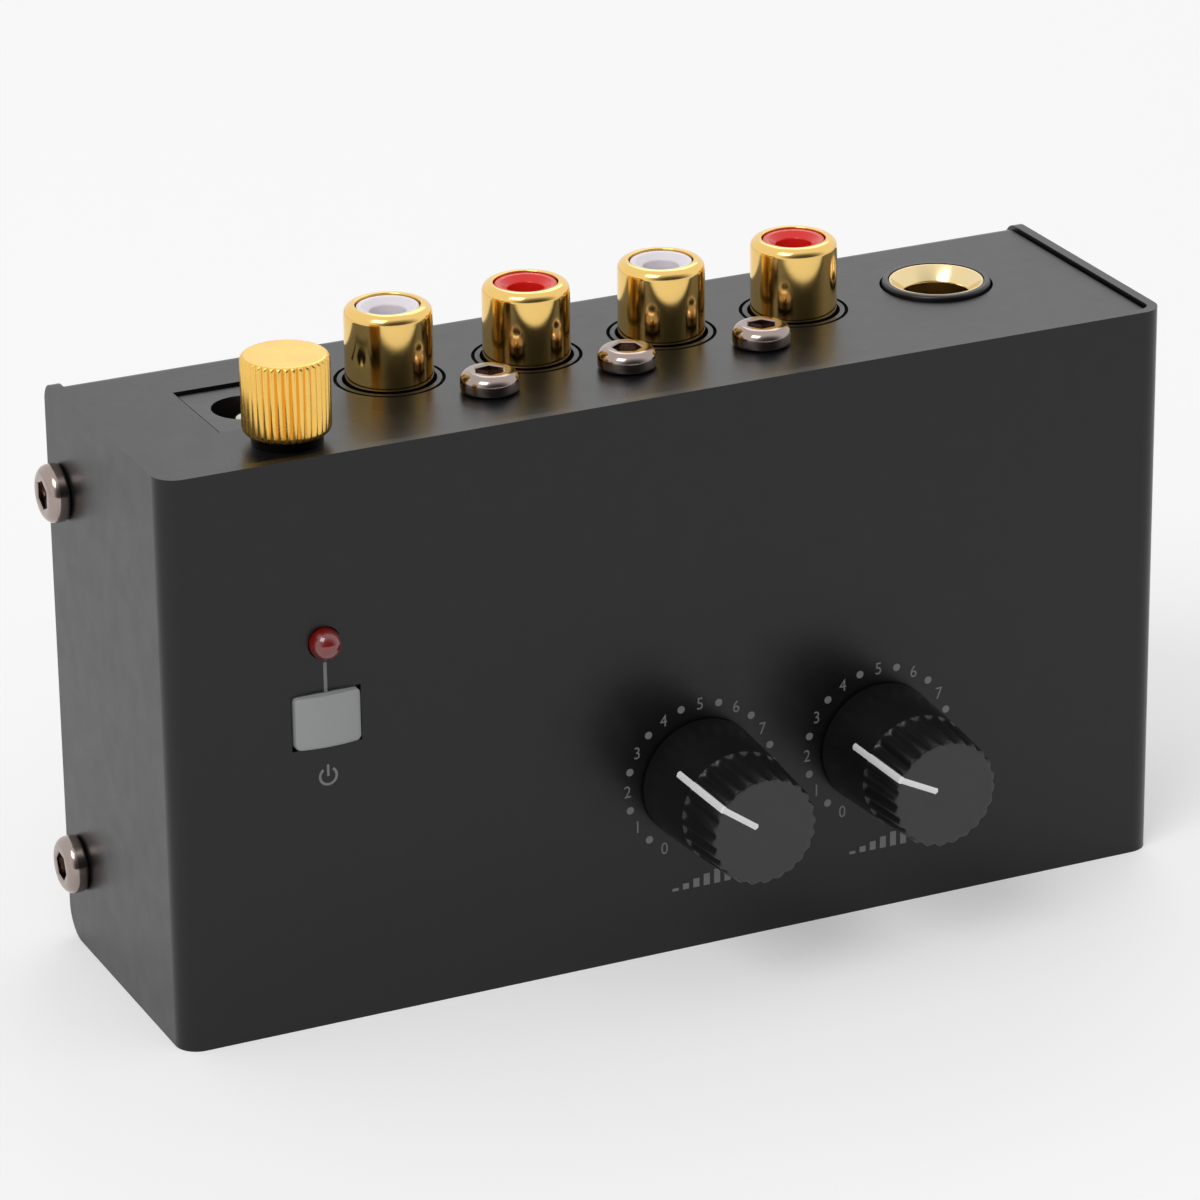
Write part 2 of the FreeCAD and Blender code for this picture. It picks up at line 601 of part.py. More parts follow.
def plug_body():
    """Moulded body and collar of the jack socket."""
    body = body_named("jack_body")
    block = sketch_at(body, "XY_Plane", "plug_bottom")
    oblong(block, "plug_x - plug_half", "plug_x + plug_half", "plug_front", "board_front")
    pad(body, block, "plug_deep")
    collar = sketch_at(body, "XY_Plane", "panel_under - 0.5")
    disc(collar, "plug_x", "plug_back", "plug_collar")
    pad(body, collar, "plug_top - panel_under + 0.5")
    wide = sketch_at(body, "XY_Plane", "plug_top - bushing_long")
    disc(wide, "plug_x", "plug_back", "bushing_radius + bushing_fit")
    cut(body, wide, "bushing_long")
    narrow = sketch_at(body, "XY_Plane", "plug_bottom + plug_floor")
    disc(narrow, "plug_x", "plug_back", "plug_bore + plug_room")
    cut(body, narrow, "plug_top - bushing_long - plug_bottom - plug_floor")
    rim = measure("plug_top")
    outer = measure("plug_collar")
    rounded(body, "0.3", lambda e: is_ring(e, outer, rim))
    for step in range(3):
        start = "plug_back + " + ("plug_bore + plug_room" if step else "bushing_radius") + " - 0.2"
        slot = sketch_at(body, "XZ_Plane", start)
        low = SPRING_LOW % step
        oblong(slot, "plug_x - tail_wide / 2 - tail_clear", "plug_x + tail_wide / 2 + tail_clear",
               low + " - tail_clear", low + " + spring_wide + tail_clear")
        cut(body, slot, "board_front - (%s)" % start)
    return body


def plug_bushing():
    """Flared gold bushing of the jack socket."""
    body = body_named("jack_bushing")
    spun(body, [("plug_bore", "plug_top - bushing_long"),
                ("bushing_radius", "plug_top - bushing_long"),
                ("flare_radius", "plug_top - 0.05"), ("flare_radius - 0.15", "plug_top - 0.05"),
                ("plug_bore", "plug_top - flare_deep")])
    place(body, "plug_x", "plug_back", "0")
    return body


def plug_springs():
    """Sleeve, ring and tip springs of the jack socket, with their tails through the board."""
    body = body_named("jack_springs", True)
    for step in range(3):
        start = "plug_bore + plug_room" if step else "bushing_radius + bushing_fit"
        start += " + spring_clear"
        sketch = sketch_at(body, "XY_Plane", SPRING_LOW % step)
        oblong(sketch, "plug_x - tail_wide / 2", "plug_x + tail_wide / 2",
               "plug_back + " + start, "board_back + tail_out")
        pad(body, sketch, "spring_wide")
    return body


def power_body():
    """Moulded body of the DC socket."""
    body = body_named("power_socket_body")
    block = sketch_at(body, "XY_Plane", "power_bottom")
    oblong(block, "power_x - power_half", "power_x + power_half",
           "power_back - power_half_back", "power_back + power_half_back")
    pad(body, block, "power_long")
    heel = sketch_at(body, "XY_Plane", "power_bottom")
    oblong(heel, "power_x - power_half", "power_x + power_half",
           "power_back + power_half_back - 0.5", "board_front")
    pad(body, heel, "power_long - 4")
    bore = sketch_at(body, "XY_Plane", "power_top - power_bore_deep")
    disc(bore, "power_x", "power_back", "power_bore")
    cut(body, bore, "power_bore_deep")
    seat = sketch_at(body, "XY_Plane", "power_bottom")
    disc(seat, "power_x", "power_back", "pin_root + 0.05")
    cut(body, seat, "power_long - power_bore_deep")
    slot = sketch_at(body, "XY_Plane", "power_bottom")
    oblong(slot, "power_x - blade_x - tail_wide / 2 - tail_clear",
           "power_x - blade_x + tail_wide / 2 + tail_clear",
           "power_back - 0.75", "power_back + 0.75")
    cut(body, slot, "power_long - 1")
    return body


def power_pin():
    """Centre pin of the DC socket with its tail."""
    body = body_named("power_socket_pin")
    root = sketch_at(body, "XY_Plane", "power_bottom - tail_thick")
    disc(root, "power_x", "power_back", "pin_root")
    pad(body, root, "power_long + tail_thick - power_bore_deep + pin_root_rise")
    pin = sketch_at(body, "XY_Plane", "power_top - power_bore_deep + pin_root_rise")
    disc(pin, "power_x", "power_back", "pin_radius")
    pad(body, pin, "power_bore_deep - pin_root_rise - pin_sink")
    tip, outer = measure("power_top - pin_sink"), measure("pin_radius")
    rounded(body, "0.4", lambda e: is_ring(e, outer, tip))
    strip = sketch_at(body, "XY_Plane", "power_bottom - tail_thick")
    oblong(strip, "power_x - tail_wide / 2", "power_x + tail_wide / 2", "power_back",
           "board_back + tail_out")
    pad(body, strip, "tail_thick")
    return body


def power_spring():
    """Side spring of the DC socket with its tail."""
    body = body_named("power_socket_spring")
    blade = sketch_at(body, "XY_Plane", "power_bottom - tail_thick")
    oblong(blade, "power_x - blade_x - tail_wide / 2",
           "power_x - blade_x - tail_wide / 2 + spring_thick",
           "power_back - 0.6", "power_back + 0.6")
    pad(body, blade, "power_long - 2")
    strip = sketch_at(body, "XY_Plane", "power_bottom - tail_thick")
    oblong(strip, "power_x - blade_x - tail_wide / 2", "power_x - blade_x + tail_wide / 2",
           "power_back - 0.6", "board_back + tail_out")
    pad(body, strip, "tail_thick")
    return body


def ground_stud():
    """Threaded stud of the ground terminal with its round foot under the nut."""
    body = body_named("ground_stud")
    spun(body, [("0", "panel_top + stud_rise - stud_long"),
                ("stud_radius", "panel_top + stud_rise - stud_long"),
                ("stud_radius", "panel_top + stud_rise - 0.4"),
                ("stud_radius - 0.4", "panel_top + stud_rise"), ("0", "panel_top + stud_rise")])
    place(body, "ground_x", "ground_back", "0")
    return body


def ground_nut():
    """Hexagon nut that clamps the stud and the lug from inside."""
    body = body_named("ground_inner_nut")
    sketch = sketch_at(body, "XY_Plane", "panel_under - lug_thick - nut_thick")
    hexagon(sketch, "0", "0", "nut_flats")
    disc(sketch, "0", "0", "stud_radius + thumb_fit")
    pad(body, sketch, "nut_thick")
    place(body, "ground_x", "ground_back", "0")
    return body


def ground_lug():
    """Solder lug between the panel and the inner nut."""
    body = body_named("ground_lug")
    sketch = sketch_at(body, "XY_Plane", "panel_under - lug_thick")
    disc(sketch, "0", "0", "stud_radius + 1.7")
    disc(sketch, "0", "0", "stud_radius + thumb_fit")
    pad(body, sketch, "lug_thick")
    arm = sketch_at(body, "XY_Plane", "panel_under - lug_thick")
    oblong(arm, "stud_radius + 1.2", "stud_radius + 7", "-1.2", "1.2")
    disc(arm, "stud_radius + 5.4", "0", "0.6")
    pad(body, arm, "lug_thick")
    place(body, "ground_x", "ground_back", "0")
    return body


def ground_washer():
    """Washer held captive under the thumb nut."""
    body = body_named("ground_washer")
    sketch = sketch_at(body, "XY_Plane", "panel_top")
    disc(sketch, "0", "0", "washer_radius")
    disc(sketch, "0", "0", "stud_radius + thumb_fit")
    pad(body, sketch, "washer_thick")
    place(body, "ground_x", "ground_back", "0")
    return body


def thumb_nut():
    """Knurled thumb nut, closed on top."""
    body = body_named("ground_thumb_nut")
    bore, top = "stud_radius + thumb_fit", "thumb_under + thumb_high"
    spun(body, [
        (bore, "thumb_under"), ("thumb_radius - thumb_edge", "thumb_under"),
        ("thumb_radius", "thumb_under + thumb_edge"), ("thumb_radius", top + " - thumb_edge"),
        ("thumb_radius - thumb_edge", top), ("0", top), ("0", "thumb_under + thumb_bore_deep"),
        (bore, "thumb_under + thumb_bore_deep")])
    groove = sketch_at(body, "XY_Plane", "thumb_under")
    outline(groove, [("thumb_radius - ridge_deep", "0"), ("thumb_radius + 0.2", "-ridge_half"),
                     ("thumb_radius + 0.2", "ridge_half")])
    around(body, cut(body, groove, "thumb_high"), "ridge_count")
    place(body, "ground_x", "ground_back", "0")
    return body


def lamp():
    """Red LED whose dome looks out of the panel."""
    body = body_named("power_lamp")
    sketch = sketch_at(body, "XY_Plane", "lamp_proud - lamp_long")
    disc(sketch, "0", "0", "lamp_radius")
    pad(body, sketch, "lamp_long + lamp_radius")
    tip, outer = measure("lamp_proud + lamp_radius"), measure("lamp_radius")
    rounded(body, "lamp_radius - 0.02", lambda e: is_ring(e, outer) and e.CenterOfMass.z > tip - 0.01)
    flange = sketch_at(body, "XY_Plane", "lamp_proud - lamp_long")
    disc(flange, "0", "0", "lamp_flange")
    pad(body, flange, "lamp_flange_thick")
    face_out(body, "control_x", "lamp_up")
    return body


def lamp_spacer():
    """Tube that holds the lamp off the board."""
    body = body_named("lamp_spacer")
    sketch = sketch_at(body, "XY_Plane", "board_level")
    disc(sketch, "0", "0", "spacer_radius")
    for side in ("-", ""):
        disc(sketch, side + "lead_pitch / 2", "0", "lead_radius + lead_clear")
    pad(body, sketch, "lamp_proud - lamp_long - board_level")
    face_out(body, "control_x", "lamp_up")
    return body


def lamp_leads():
    """Two wire leads of the lamp."""
    body = body_named("lamp_leads", True)
    sketch = sketch_at(body, "XY_Plane", "board_level - board_thick - tail_out")
    for side in ("-", ""):
        disc(sketch, side + "lead_pitch / 2", "0", "lead_radius")
    pad(body, sketch, "lamp_proud - lamp_long - board_level + board_thick + tail_out")
    face_out(body, "control_x", "lamp_up")
    return body


def button_cap():
    """Power button: a cap domed across its width, a lip behind the panel and a hollow stem."""
    body = body_named("power_button_cap")
    steps = [index / 6 - 1 for index in range(13)]
    dome = [("button_wide / 2 * %.6f" % -step, "button_edge + button_dome * %.6f" % (1 - step ** 2))
            for step in steps]
    sketch = sketch_at(body, "XZ_Plane", "-button_tall / 2")
    outline(sketch, [("-button_wide / 2", "-sheet_thick - 1"), ("button_wide / 2",
                     "-sheet_thick - 1")] + dome)
    pad(body, sketch, "button_tall")
    half_wide, half_tall = measure("button_wide / 2"), measure("button_tall / 2")
    rounded(body, "button_corner", lambda e: runs_along(e, 2)
            and abs(abs(e.CenterOfMass.x) - half_wide) < 1e-4
            and abs(abs(e.CenterOfMass.y) - half_tall) < 1e-4)
    lip = sketch_at(body, "XY_Plane", "-sheet_thick - 0.2 - button_lip_thick")
    oblong(lip, "-button_wide / 2 - button_lip", "button_wide / 2 + button_lip",
           "-button_tall / 2 - button_lip", "button_tall / 2 + button_lip")
    pad(body, lip, "button_lip_thick")
    stem = sketch_at(body, "XY_Plane", "-stem_long")
    oblong(stem, "-stem_half", "stem_half", "-stem_half", "stem_half")
    pad(body, stem, "stem_long - sheet_thick - 0.5")
    hole = sketch_at(body, "XY_Plane", "-stem_long")
    oblong(hole, "-plunger_half - 0.02", "plunger_half + 0.02", "-plunger_half - 0.02",
           "plunger_half + 0.02")
    cut(body, hole, "stem_long - 6")
    face_out(body, "control_x", "button_up")
    return body


def switch_plunger():
    """Square plunger of the push switch, plugged into the button stem."""
    body = body_named("switch_plunger")
    sketch = sketch_at(body, "XY_Plane", "switch_front - 3")
    oblong(sketch, "-plunger_half", "plunger_half", "-plunger_half", "plunger_half")
    pad(body, sketch, "3 - switch_front - 6")
    face_out(body, "control_x", "button_up")
    return body


def switch_body():
    """Push switch that stands on the board."""
    body = body_named("switch_body")
    block = sketch_at(body, "XY_Plane", "board_level")
    oblong(block, "-switch_half", "switch_half", "-switch_half", "switch_half")
    pad(body, block, "switch_long")
    hole = sketch_at(body, "XY_Plane", "switch_front - 3 - button_travel - 0.5")
    oblong(hole, "-plunger_half - plunger_room", "plunger_half + plunger_room",
           "-plunger_half - plunger_room", "plunger_half + plunger_room")
    cut(body, hole, "3 + button_travel + 0.5")
    face_out(body, "control_x", "button_up")
    return body


def knob_profile():
    """Radius and height of the knob's outside, from the panel end to the face."""
    return [("knob_base", "knob_gap"), ("knob_waist", "knob_gap + flute_start"),
            ("knob_face", "knob_gap + knob_long")]


def pointer_outline(proud):
    """Bent strip of the pointer in the plane of the knob's axis, seen from the side."""
    top = "knob_gap + knob_long"
    slope = "(knob_base - knob_waist) / flute_start"
    start = "knob_base - pointer_start * " + slope
    return [
        (start + " + " + proud, "knob_gap + pointer_start"),
        ("knob_waist + " + proud, "knob_gap + flute_start"),
        ("knob_face + " + proud, top + " + " + proud), ("pointer_stop", top + " + " + proud),
        ("pointer_stop", top + " - pointer_deep"),
        ("knob_face - pointer_deep", top + " - pointer_deep"),
        ("knob_waist - pointer_deep", "knob_gap + flute_start"),
        (start + " - pointer_deep", "knob_gap + pointer_start")]


def knob(name, across, turn):
    """Tapered knob, smooth near the panel and fluted towards its flat face."""
    body = body_named(name + "_knob")
    bore = "shaft_radius + knob_fit"
    spun(body, [(bore, "knob_gap")] + knob_profile() + [
        ("0", "knob_gap + knob_long"), ("0", "knob_gap + knob_bore_deep"),
        (bore, "knob_gap + knob_bore_deep")])
    flute = sketch_at(body, "XY_Plane", "knob_gap + flute_start")
    disc(flute, "0", "knob_waist - flute_bite + flute_radius", "flute_radius")
    around(body, cut(body, flute, "knob_long"), "flute_count")
    groove = sketch_at(body, "YZ_Plane", "-pointer_wide / 2")
    outline(groove, pointer_outline("0.3"))
    cut(body, groove, "pointer_wide")
    flat = sketch_at(body, "XY_Plane", "knob_gap + knob_bore_deep - flat_long + 0.5")
    oblong(flat, "-shaft_radius", "shaft_radius", "shaft_flat + knob_fit", "shaft_radius + 0.3")
    pad(body, flat, "flat_long - 0.5")
    face_out(body, across, "dial_up", turn)
    return body


def pointer(name, across, turn):
    """White inlay that runs up the knob's side and over its face."""
    body = body_named(name + "_pointer")
    sketch = sketch_at(body, "YZ_Plane", "-pointer_wide / 2")
    outline(sketch, pointer_outline("pointer_proud"))
    pad(body, sketch, "pointer_wide")
    face_out(body, across, "dial_up", turn)
    return body


def pot_shaft(name, across, turn):
    """Long shaft of a potentiometer with a flat for the knob."""
    body = body_named(name + "_pot_shaft")
    tip = "knob_gap + knob_bore_deep - 0.3"
    spun(body, [("0", "board_level + 1.5"), ("shaft_radius", "board_level + 1.5"),
                ("shaft_radius", tip + " - 0.3"), ("shaft_radius - 0.3", tip), ("0", tip)])
    flat = sketch_at(body, "XY_Plane", tip + " - flat_long")
    oblong(flat, "-shaft_radius - 1", "shaft_radius + 1", "shaft_flat", "shaft_radius + 1")
    cut(body, flat, "flat_long + 1")
    face_out(body, across, "dial_up", turn)
    return body


def pot_body(name, across):
    """Square case of a potentiometer, standing on the board."""
    body = body_named(name + "_pot_body")
    block = sketch_at(body, "XY_Plane", "board_level")
    oblong(block, "-pot_half", "pot_half", "-pot_half - 1", "pot_half")
    pad(body, block, "pot_high")
    room = sketch_at(body, "XY_Plane", "board_level + 1.2")
    disc(room, "0", "0", "shaft_radius + 0.3")
    cut(body, room, "pot_high - 1.2")
    face_out(body, across, "dial_up")
    return body


def pot_bushing(name, across):
    """Metal bushing that guides the shaft."""
    body = body_named(name + "_pot_bushing")
    sketch = sketch_at(body, "XY_Plane", "board_level + pot_high")
    disc(sketch, "0", "0", "pot_bushing")
    disc(sketch, "0", "0", "shaft_radius + shaft_fit")
    pad(body, sketch, "pot_bushing_long")
    plate = sketch_at(body, "XY_Plane", "board_level + pot_high")
    oblong(plate, "-pot_half", "pot_half", "-pot_half - 1", "pot_half")
    disc(plate, "0", "0", "shaft_radius + shaft_fit")
    pad(body, plate, "0.8")
    face_out(body, across, "dial_up")
    return body


def group(label, items):
    """One node made of several primitive solids."""
    node = doc.addObject("Part::Compound", label)
    node.Label = label
    node.Links = items
    return node


def block(label, left, wide, up, tall, rise, high):
    """Box on the front of the board: left edge, width, lower edge, height, foot and depth."""
    box = doc.addObject("Part::Box", label)
    for name, text in (("Length", wide), ("Width", high), ("Height", tall)):
        box.setExpression(name, bound(text))
    place(box, left, "board_front - (%s) - (%s)" % (rise, high), up)
    return box


def chips():
    """Two eight-pin op-amps."""
    items = []
    for across, up in (("-18", "31"), ("8", "31")):
        items.append(block("chip", across + " - chip_long / 2", "chip_long",
                           up + " - chip_wide / 2", "chip_wide", "chip_stand", "chip_high"))
        for pin in range(4):
            for side in ("- chip_wide / 2 - 0.7", "+ chip_wide / 2 + 0.2"):
                left = "%s - 4.06 + 2.54 * %d" % (across, pin)
                items.append(block("pin", left, "0.5", "%s %s" % (up, side), "0.5", "0", "2.2"))
    return group("op_amps", items)


def cans():
    """Four electrolytic capacitors standing on the board."""
    items = []
    for across in ("-29", "-20"):
        for up in ("10", "19"):
            can = doc.addObject("Part::Cylinder", "can")
            can.setExpression("Radius", bound("can_radius"))
            can.setExpression("Height", bound("can_high"))
            can.Placement.Rotation = FreeCAD.Rotation(FreeCAD.Vector(1, 0, 0), 90)
            place(can, across, "board_front", up)
            items.append(can)
    return group("electrolytic_capacitors", items)


def films():
    """Four boxed film capacitors."""
    items = [block("film", across + " - film_long / 2", "film_long", up, "film_wide", "0",
                   "film_high") for across in ("-9.5", "31") for up in ("8", "13")]
    return group("film_capacitors", items)


def resistors():
    """Eight axial resistors lying on the board."""
    items = []
    for across in ("-6", "17"):
        for step in range(4):
            rod = doc.addObject("Part::Cylinder", "resistor")
            rod.setExpression("Radius", bound("resistor_radius"))
            rod.setExpression("Height", bound("resistor_long"))
            rod.Placement.Rotation = FreeCAD.Rotation(FreeCAD.Vector(0, 1, 0), 90)
            place(rod, across, "board_front - resistor_radius", "26.5 + 3.4 * %d" % step)
            items.append(rod)
    return group("resistors", items)


def regulator():
    """Voltage regulator standing on the board with its metal tab."""
    case = block("regulator_case", "regulator_x", "regulator_thick", "regulator_low",
                 "regulator_wide", "0", "regulator_high - 6")
    back = block("regulator_tab", "regulator_x - 1.2", "1.2", "regulator_low", "regulator_wide",
                 "0", "regulator_high")
    whole = doc.addObject("Part::MultiFuse", "voltage_regulator")
    whole.Label = "voltage_regulator"
    whole.Shapes = [case, back]
    return whole


nodes = [cover(), chassis(), side_screws(), jack_screws(), feet(), circuit_board(), standoffs(),
         board_screws(), rca_housing(), plug_body(), plug_bushing(), plug_springs(), power_body(),
         power_pin(), power_spring(), ground_stud(), ground_nut(), ground_lug(), ground_washer(),
         thumb_nut(), lamp(), lamp_spacer(), lamp_leads(), button_cap(), switch_plunger(),
         switch_body(), chips(), cans(), films(), resistors(), regulator()]
for number, across in enumerate(RCA_X, 1):
    nodes.append(rca_shell(number, across))
    nodes.append(rca_insulator(number, across, "white" if number % 2 else "red"))
    nodes.append(rca_contact(number, across))
for name, across, turn in DIALS:
    nodes += [knob(name, across, turn), pointer(name, across, turn), pot_shaft(name, across, turn),
              pot_body(name, across), pot_bushing(name, across)]
doc.recompute()

for item in doc.Objects:
    if "Invalid" in item.State or "Error" in item.State:
        raise RuntimeError("not built: " + item.Label)
for node in nodes:
    if node.Shape.isNull() or not node.Shape.isValid():
        raise RuntimeError("bad shape: " + node.Label)
    node.Shape.exportStep("parts/%s.step" % node.Label)
    print(node.Label, len(node.Shape.Solids), round(node.Shape.Volume, 2))
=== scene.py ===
import math

import bmesh
import bpy
from mathutils import Matrix, Vector


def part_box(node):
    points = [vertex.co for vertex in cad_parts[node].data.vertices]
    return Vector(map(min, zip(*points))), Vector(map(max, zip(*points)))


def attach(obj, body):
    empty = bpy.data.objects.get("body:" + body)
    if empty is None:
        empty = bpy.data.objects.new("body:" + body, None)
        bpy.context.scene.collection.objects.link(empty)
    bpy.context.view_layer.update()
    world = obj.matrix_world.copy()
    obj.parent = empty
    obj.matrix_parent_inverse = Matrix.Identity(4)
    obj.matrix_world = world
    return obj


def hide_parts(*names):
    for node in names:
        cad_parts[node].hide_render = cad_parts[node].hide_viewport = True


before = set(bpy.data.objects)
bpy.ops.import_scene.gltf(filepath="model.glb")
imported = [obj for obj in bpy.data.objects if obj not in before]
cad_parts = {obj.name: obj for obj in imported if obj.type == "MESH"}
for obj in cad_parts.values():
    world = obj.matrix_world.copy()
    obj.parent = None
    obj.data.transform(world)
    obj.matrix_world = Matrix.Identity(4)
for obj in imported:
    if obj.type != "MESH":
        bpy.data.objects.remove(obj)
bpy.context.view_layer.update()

bl_info = {
    "name": "Phono preamp",
    "version": (1, 0, 0),
    "blender": (4, 5, 0),
    "location": "3D View > Sidebar > Preamp",
    "description": "Dresses the frame of a compact phono preamp with its finished pieces",
    "category": "Object",
}

# The camera's right, up and backward directions, and its place in metres.
CAMERA = (Vector((0.90593, -0.42327, -0.01143)), Vector((0.17043, 0.33981, 0.92492)),
          Vector((-0.38761, -0.83987, 0.37998)), Vector((-0.21821, -0.46939, 0.24309)))
PANEL_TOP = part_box("chassis")[1][2] * 1000
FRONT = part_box("cover")[0][1] * 1000
# A local Z that points out of the knob panel, with local Y up.
OUTWARD = Matrix.Rotation(math.radians(90), 4, "X")

# Sizes in mm of what each piece fits on or in.
SHANK_RADIUS = 1.5
JACK_SHANK = 7.0
SIDE_SHANK = 4.0
SHELL_RADIUS = 4.15
SHELL_BORE = 3.05
SHELL_NECK = 3.7
NECK_RISE = 0.15
TAIL_LONG = 2.5
INSULATOR_RADIUS = 2.95
INSULATOR_HOLE = 1.7
CONTACT_ROOM = 2.2
JACK_BORE = 3.25
BUSHING_RADIUS = 4.6
FLARE_RADIUS = 4.4
FLARE_DEEP = 1.35
THUMB_RADIUS = 4.1
THUMB_BORE = 2.05
THUMB_BORE_DEEP = 5.6
KNOB_GAP = 0.3
KNOB_REACH = 13.7
KNOB_BASE = 6.15
KNOB_TAPER = 0.4 / 7.7
KNOB_BORE = 3.05
KNOB_BORE_END = 10.9
POINTER_START = 4.8
POINTER_STOP = 0.9
POINTER_HALF = 0.35
POINTER_DEEP = 0.5
POINTER_PROUD = 0.04
BUTTON_HALF_WIDE = 3.25
BUTTON_HALF_TALL = 2.55
BUTTON_CORNER = 0.5
BUTTON_PROUD = 0.5
BUTTON_DOME = 0.4
LAMP_RADIUS = 1.5
LAMP_PROUD = 0.3
LAMP_FLANGE = 1.9
INK_LIFT = 0.02
# Share of white that the camera and mirrors see added to the floor.
FLOOR_LIFT = 0.3


def linear(code):
    """Linear colour of an sRGB hex value."""
    parts = [int(code[place:place + 2], 16) / 255 for place in (1, 3, 5)]
    return [value / 12.92 if value <= 0.04045 else ((value + 0.055) / 1.055) ** 2.4
            for value in parts]


def tint(name, description, code):
    """Colour property whose default is a hex value."""
    return bpy.props.FloatVectorProperty(name=name, description=description, subtype="COLOR",
                                         size=3, min=0, max=1, default=linear(code))


def length(name, description, millimetres):
    """Length property, given in mm and kept in mm."""
    return bpy.props.FloatProperty(name=name + " (mm)", description=description, min=0,
                                   default=millimetres)


def corners_of(node):
    """Lowest and highest corner of a CAD node's box in mm."""
    return [[value * 1000 for value in corner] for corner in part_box(node)]


def centre(node):
    """Middle of a CAD node's box in mm."""
    low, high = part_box(node)
    return [500 * (a + b) for a, b in zip(low, high)]


class CaseSettings(bpy.types.PropertyGroup):
    """Painted steel case and its screws."""
    coat: tint("Powder coat", "Colour of the baked coat", "#101011")
    coat_roughness: bpy.props.FloatProperty(name="Coat roughness", min=0, max=1, default=0.3,
                                            description="How far the coat blurs a reflection")
    ink: tint("Ink", "Colour of the printed marks", "#777778")
    screw: tint("Screws", "Colour of the black nickel", "#a3948e")
    screw_head: length("Screw head", "Diameter of a screw head", 5.6)
    screw_high: length("Head height", "Height of a screw head", 2.0)
    socket: length("Hex socket", "Distance between the flats of the hex socket", 2.5)


class SocketSettings(bpy.types.PropertyGroup):
    """Phono sockets, jack socket, DC socket and ground terminal."""
    gold: tint("Polished gold", "Colour of the plated shells", "#f0c878")
    flare: tint("Pale gold", "Colour of the plated jack bushing", "#ecd5a2")
    satin: tint("Satin gold", "Colour of the thumb nut", "#f4c568")
    white: tint("White insulator", "Colour of the left channel", "#ece6ec")
    red: tint("Red insulator", "Colour of the right channel", "#e3261c")
    collar: tint("Collars", "Colour of the moulded housings", "#141414")
    shell_round: length("Shell rounding", "Radius of the shell's outer top edge", 0.9)
    insulator_sink: length("Insulator depth", "Depth of an insulator's rim under the shell", 0.15)
    ridges: bpy.props.IntProperty(name="Ridges", min=12, default=36,
                                  description="Ridges round the thumb nut")
    ridge_deep: length("Ridge depth", "Depth of the grooves round the thumb nut", 0.28)


class ControlSettings(bpy.types.PropertyGroup):
    """Knobs, button and lamp."""
    knob: tint("Knob", "Colour of the knob's side", "#131313")
    face: tint("Knob face", "Colour of the knob's flat face", "#2e2e2f")
    pointer: tint("Pointer", "Colour of the inlay", "#efefef")
    button: tint("Button", "Colour of the button cap", "#989999")
    lamp: tint("Lamp", "Colour of the lamp's lens", "#7a0e0c")
    flutes: bpy.props.IntProperty(name="Flutes", min=6, default=24,
                                  description="Flutes round the knob")
    flute_deep: length("Flute depth", "Depth of a flute", 0.32)
    level_turn: bpy.props.FloatProperty(name="Level pointer", subtype="ANGLE",
                                        description="Pointer's turn to the left of straight up",
                                        default=math.radians(54.5))
    volume_turn: bpy.props.FloatProperty(name="Volume pointer", subtype="ANGLE",
                                         description="Pointer's turn to the left of straight up",
                                         default=math.radians(63.5))
    digit: length("Digits", "Height of the dial's digits", 1.2)
    dial: length("Dial", "Radius of the ring of digits", 7.6)


class StageSettings(bpy.types.PropertyGroup):
    """Floor, light and camera."""
    floor: tint("Floor", "Colour of the floor", "#e4e4e4")
    light: bpy.props.FloatProperty(name="Light", description="Strength of the surrounding light",
                                   min=0, default=0.6)
    lens: bpy.props.FloatProperty(name="Lens", subtype="DISTANCE_CAMERA", default=175.4,
                                  description="Focal length on a 36 mm sensor")


# Shading

def node(tree, kind, inputs=None, **settings):
    """Add a node. Each input is a value, or the socket that feeds it."""
    item = tree.nodes.new(kind)
    for name, value in settings.items():
        setattr(item, name, value)
    for name, value in (inputs or {}).items():
        if isinstance(value, bpy.types.NodeSocket):
            tree.links.new(value, item.inputs[name])
        else:
            item.inputs[name].default_value = value
    return item


def coated(name, colour, sockets, grain_mm, relief_mm, strength=0.5, spread=0.0,
           stretch=(1, 1, 1)):
    """Material with a fine relief. The grain is the size of one bump and the relief its height.
    Spread is how far the roughness wanders over patches ten grains wide."""
    material = bpy.data.materials.new(name)
    material.use_nodes = True
    tree = material.node_tree
    tree.nodes.clear()
    where = node(tree, "ShaderNodeTexCoord").outputs["Object"]
    drawn = node(tree, "ShaderNodeMapping", {"Vector": where, "Scale": stretch}).outputs[0]
    grain = node(tree, "ShaderNodeTexNoise", {"Vector": drawn, "Scale": 1000 / grain_mm,
                                              "Detail": 3.0}).outputs[0]
    bump = node(tree, "ShaderNodeBump", {"Height": grain, "Strength": strength,
                                         "Distance": relief_mm / 1000}).outputs[0]
    inputs = {"Base Color": (*colour, 1), "Normal": bump, **sockets}
    if spread:
        patch = node(tree, "ShaderNodeTexNoise", {"Vector": where, "Scale": 100 / grain_mm,
                                                  "Detail": 4.0}).outputs[0]
        rough = sockets["Roughness"]
        inputs["Roughness"] = node(tree, "ShaderNodeMapRange", {
            "Value": patch, "From Min": 0.3, "From Max": 0.7, "To Min": rough - spread,
            "To Max": rough + spread}).outputs[0]
    shader = node(tree, "ShaderNodeBsdfPrincipled", inputs)
    node(tree, "ShaderNodeOutputMaterial", {"Surface": shader.outputs[0]})
    return material


def dress(node_name, material):
    """Give a CAD node one material."""
    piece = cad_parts[node_name]
    piece.data.materials.clear()
    piece.data.materials.append(material)


# Meshes, worked out in mm

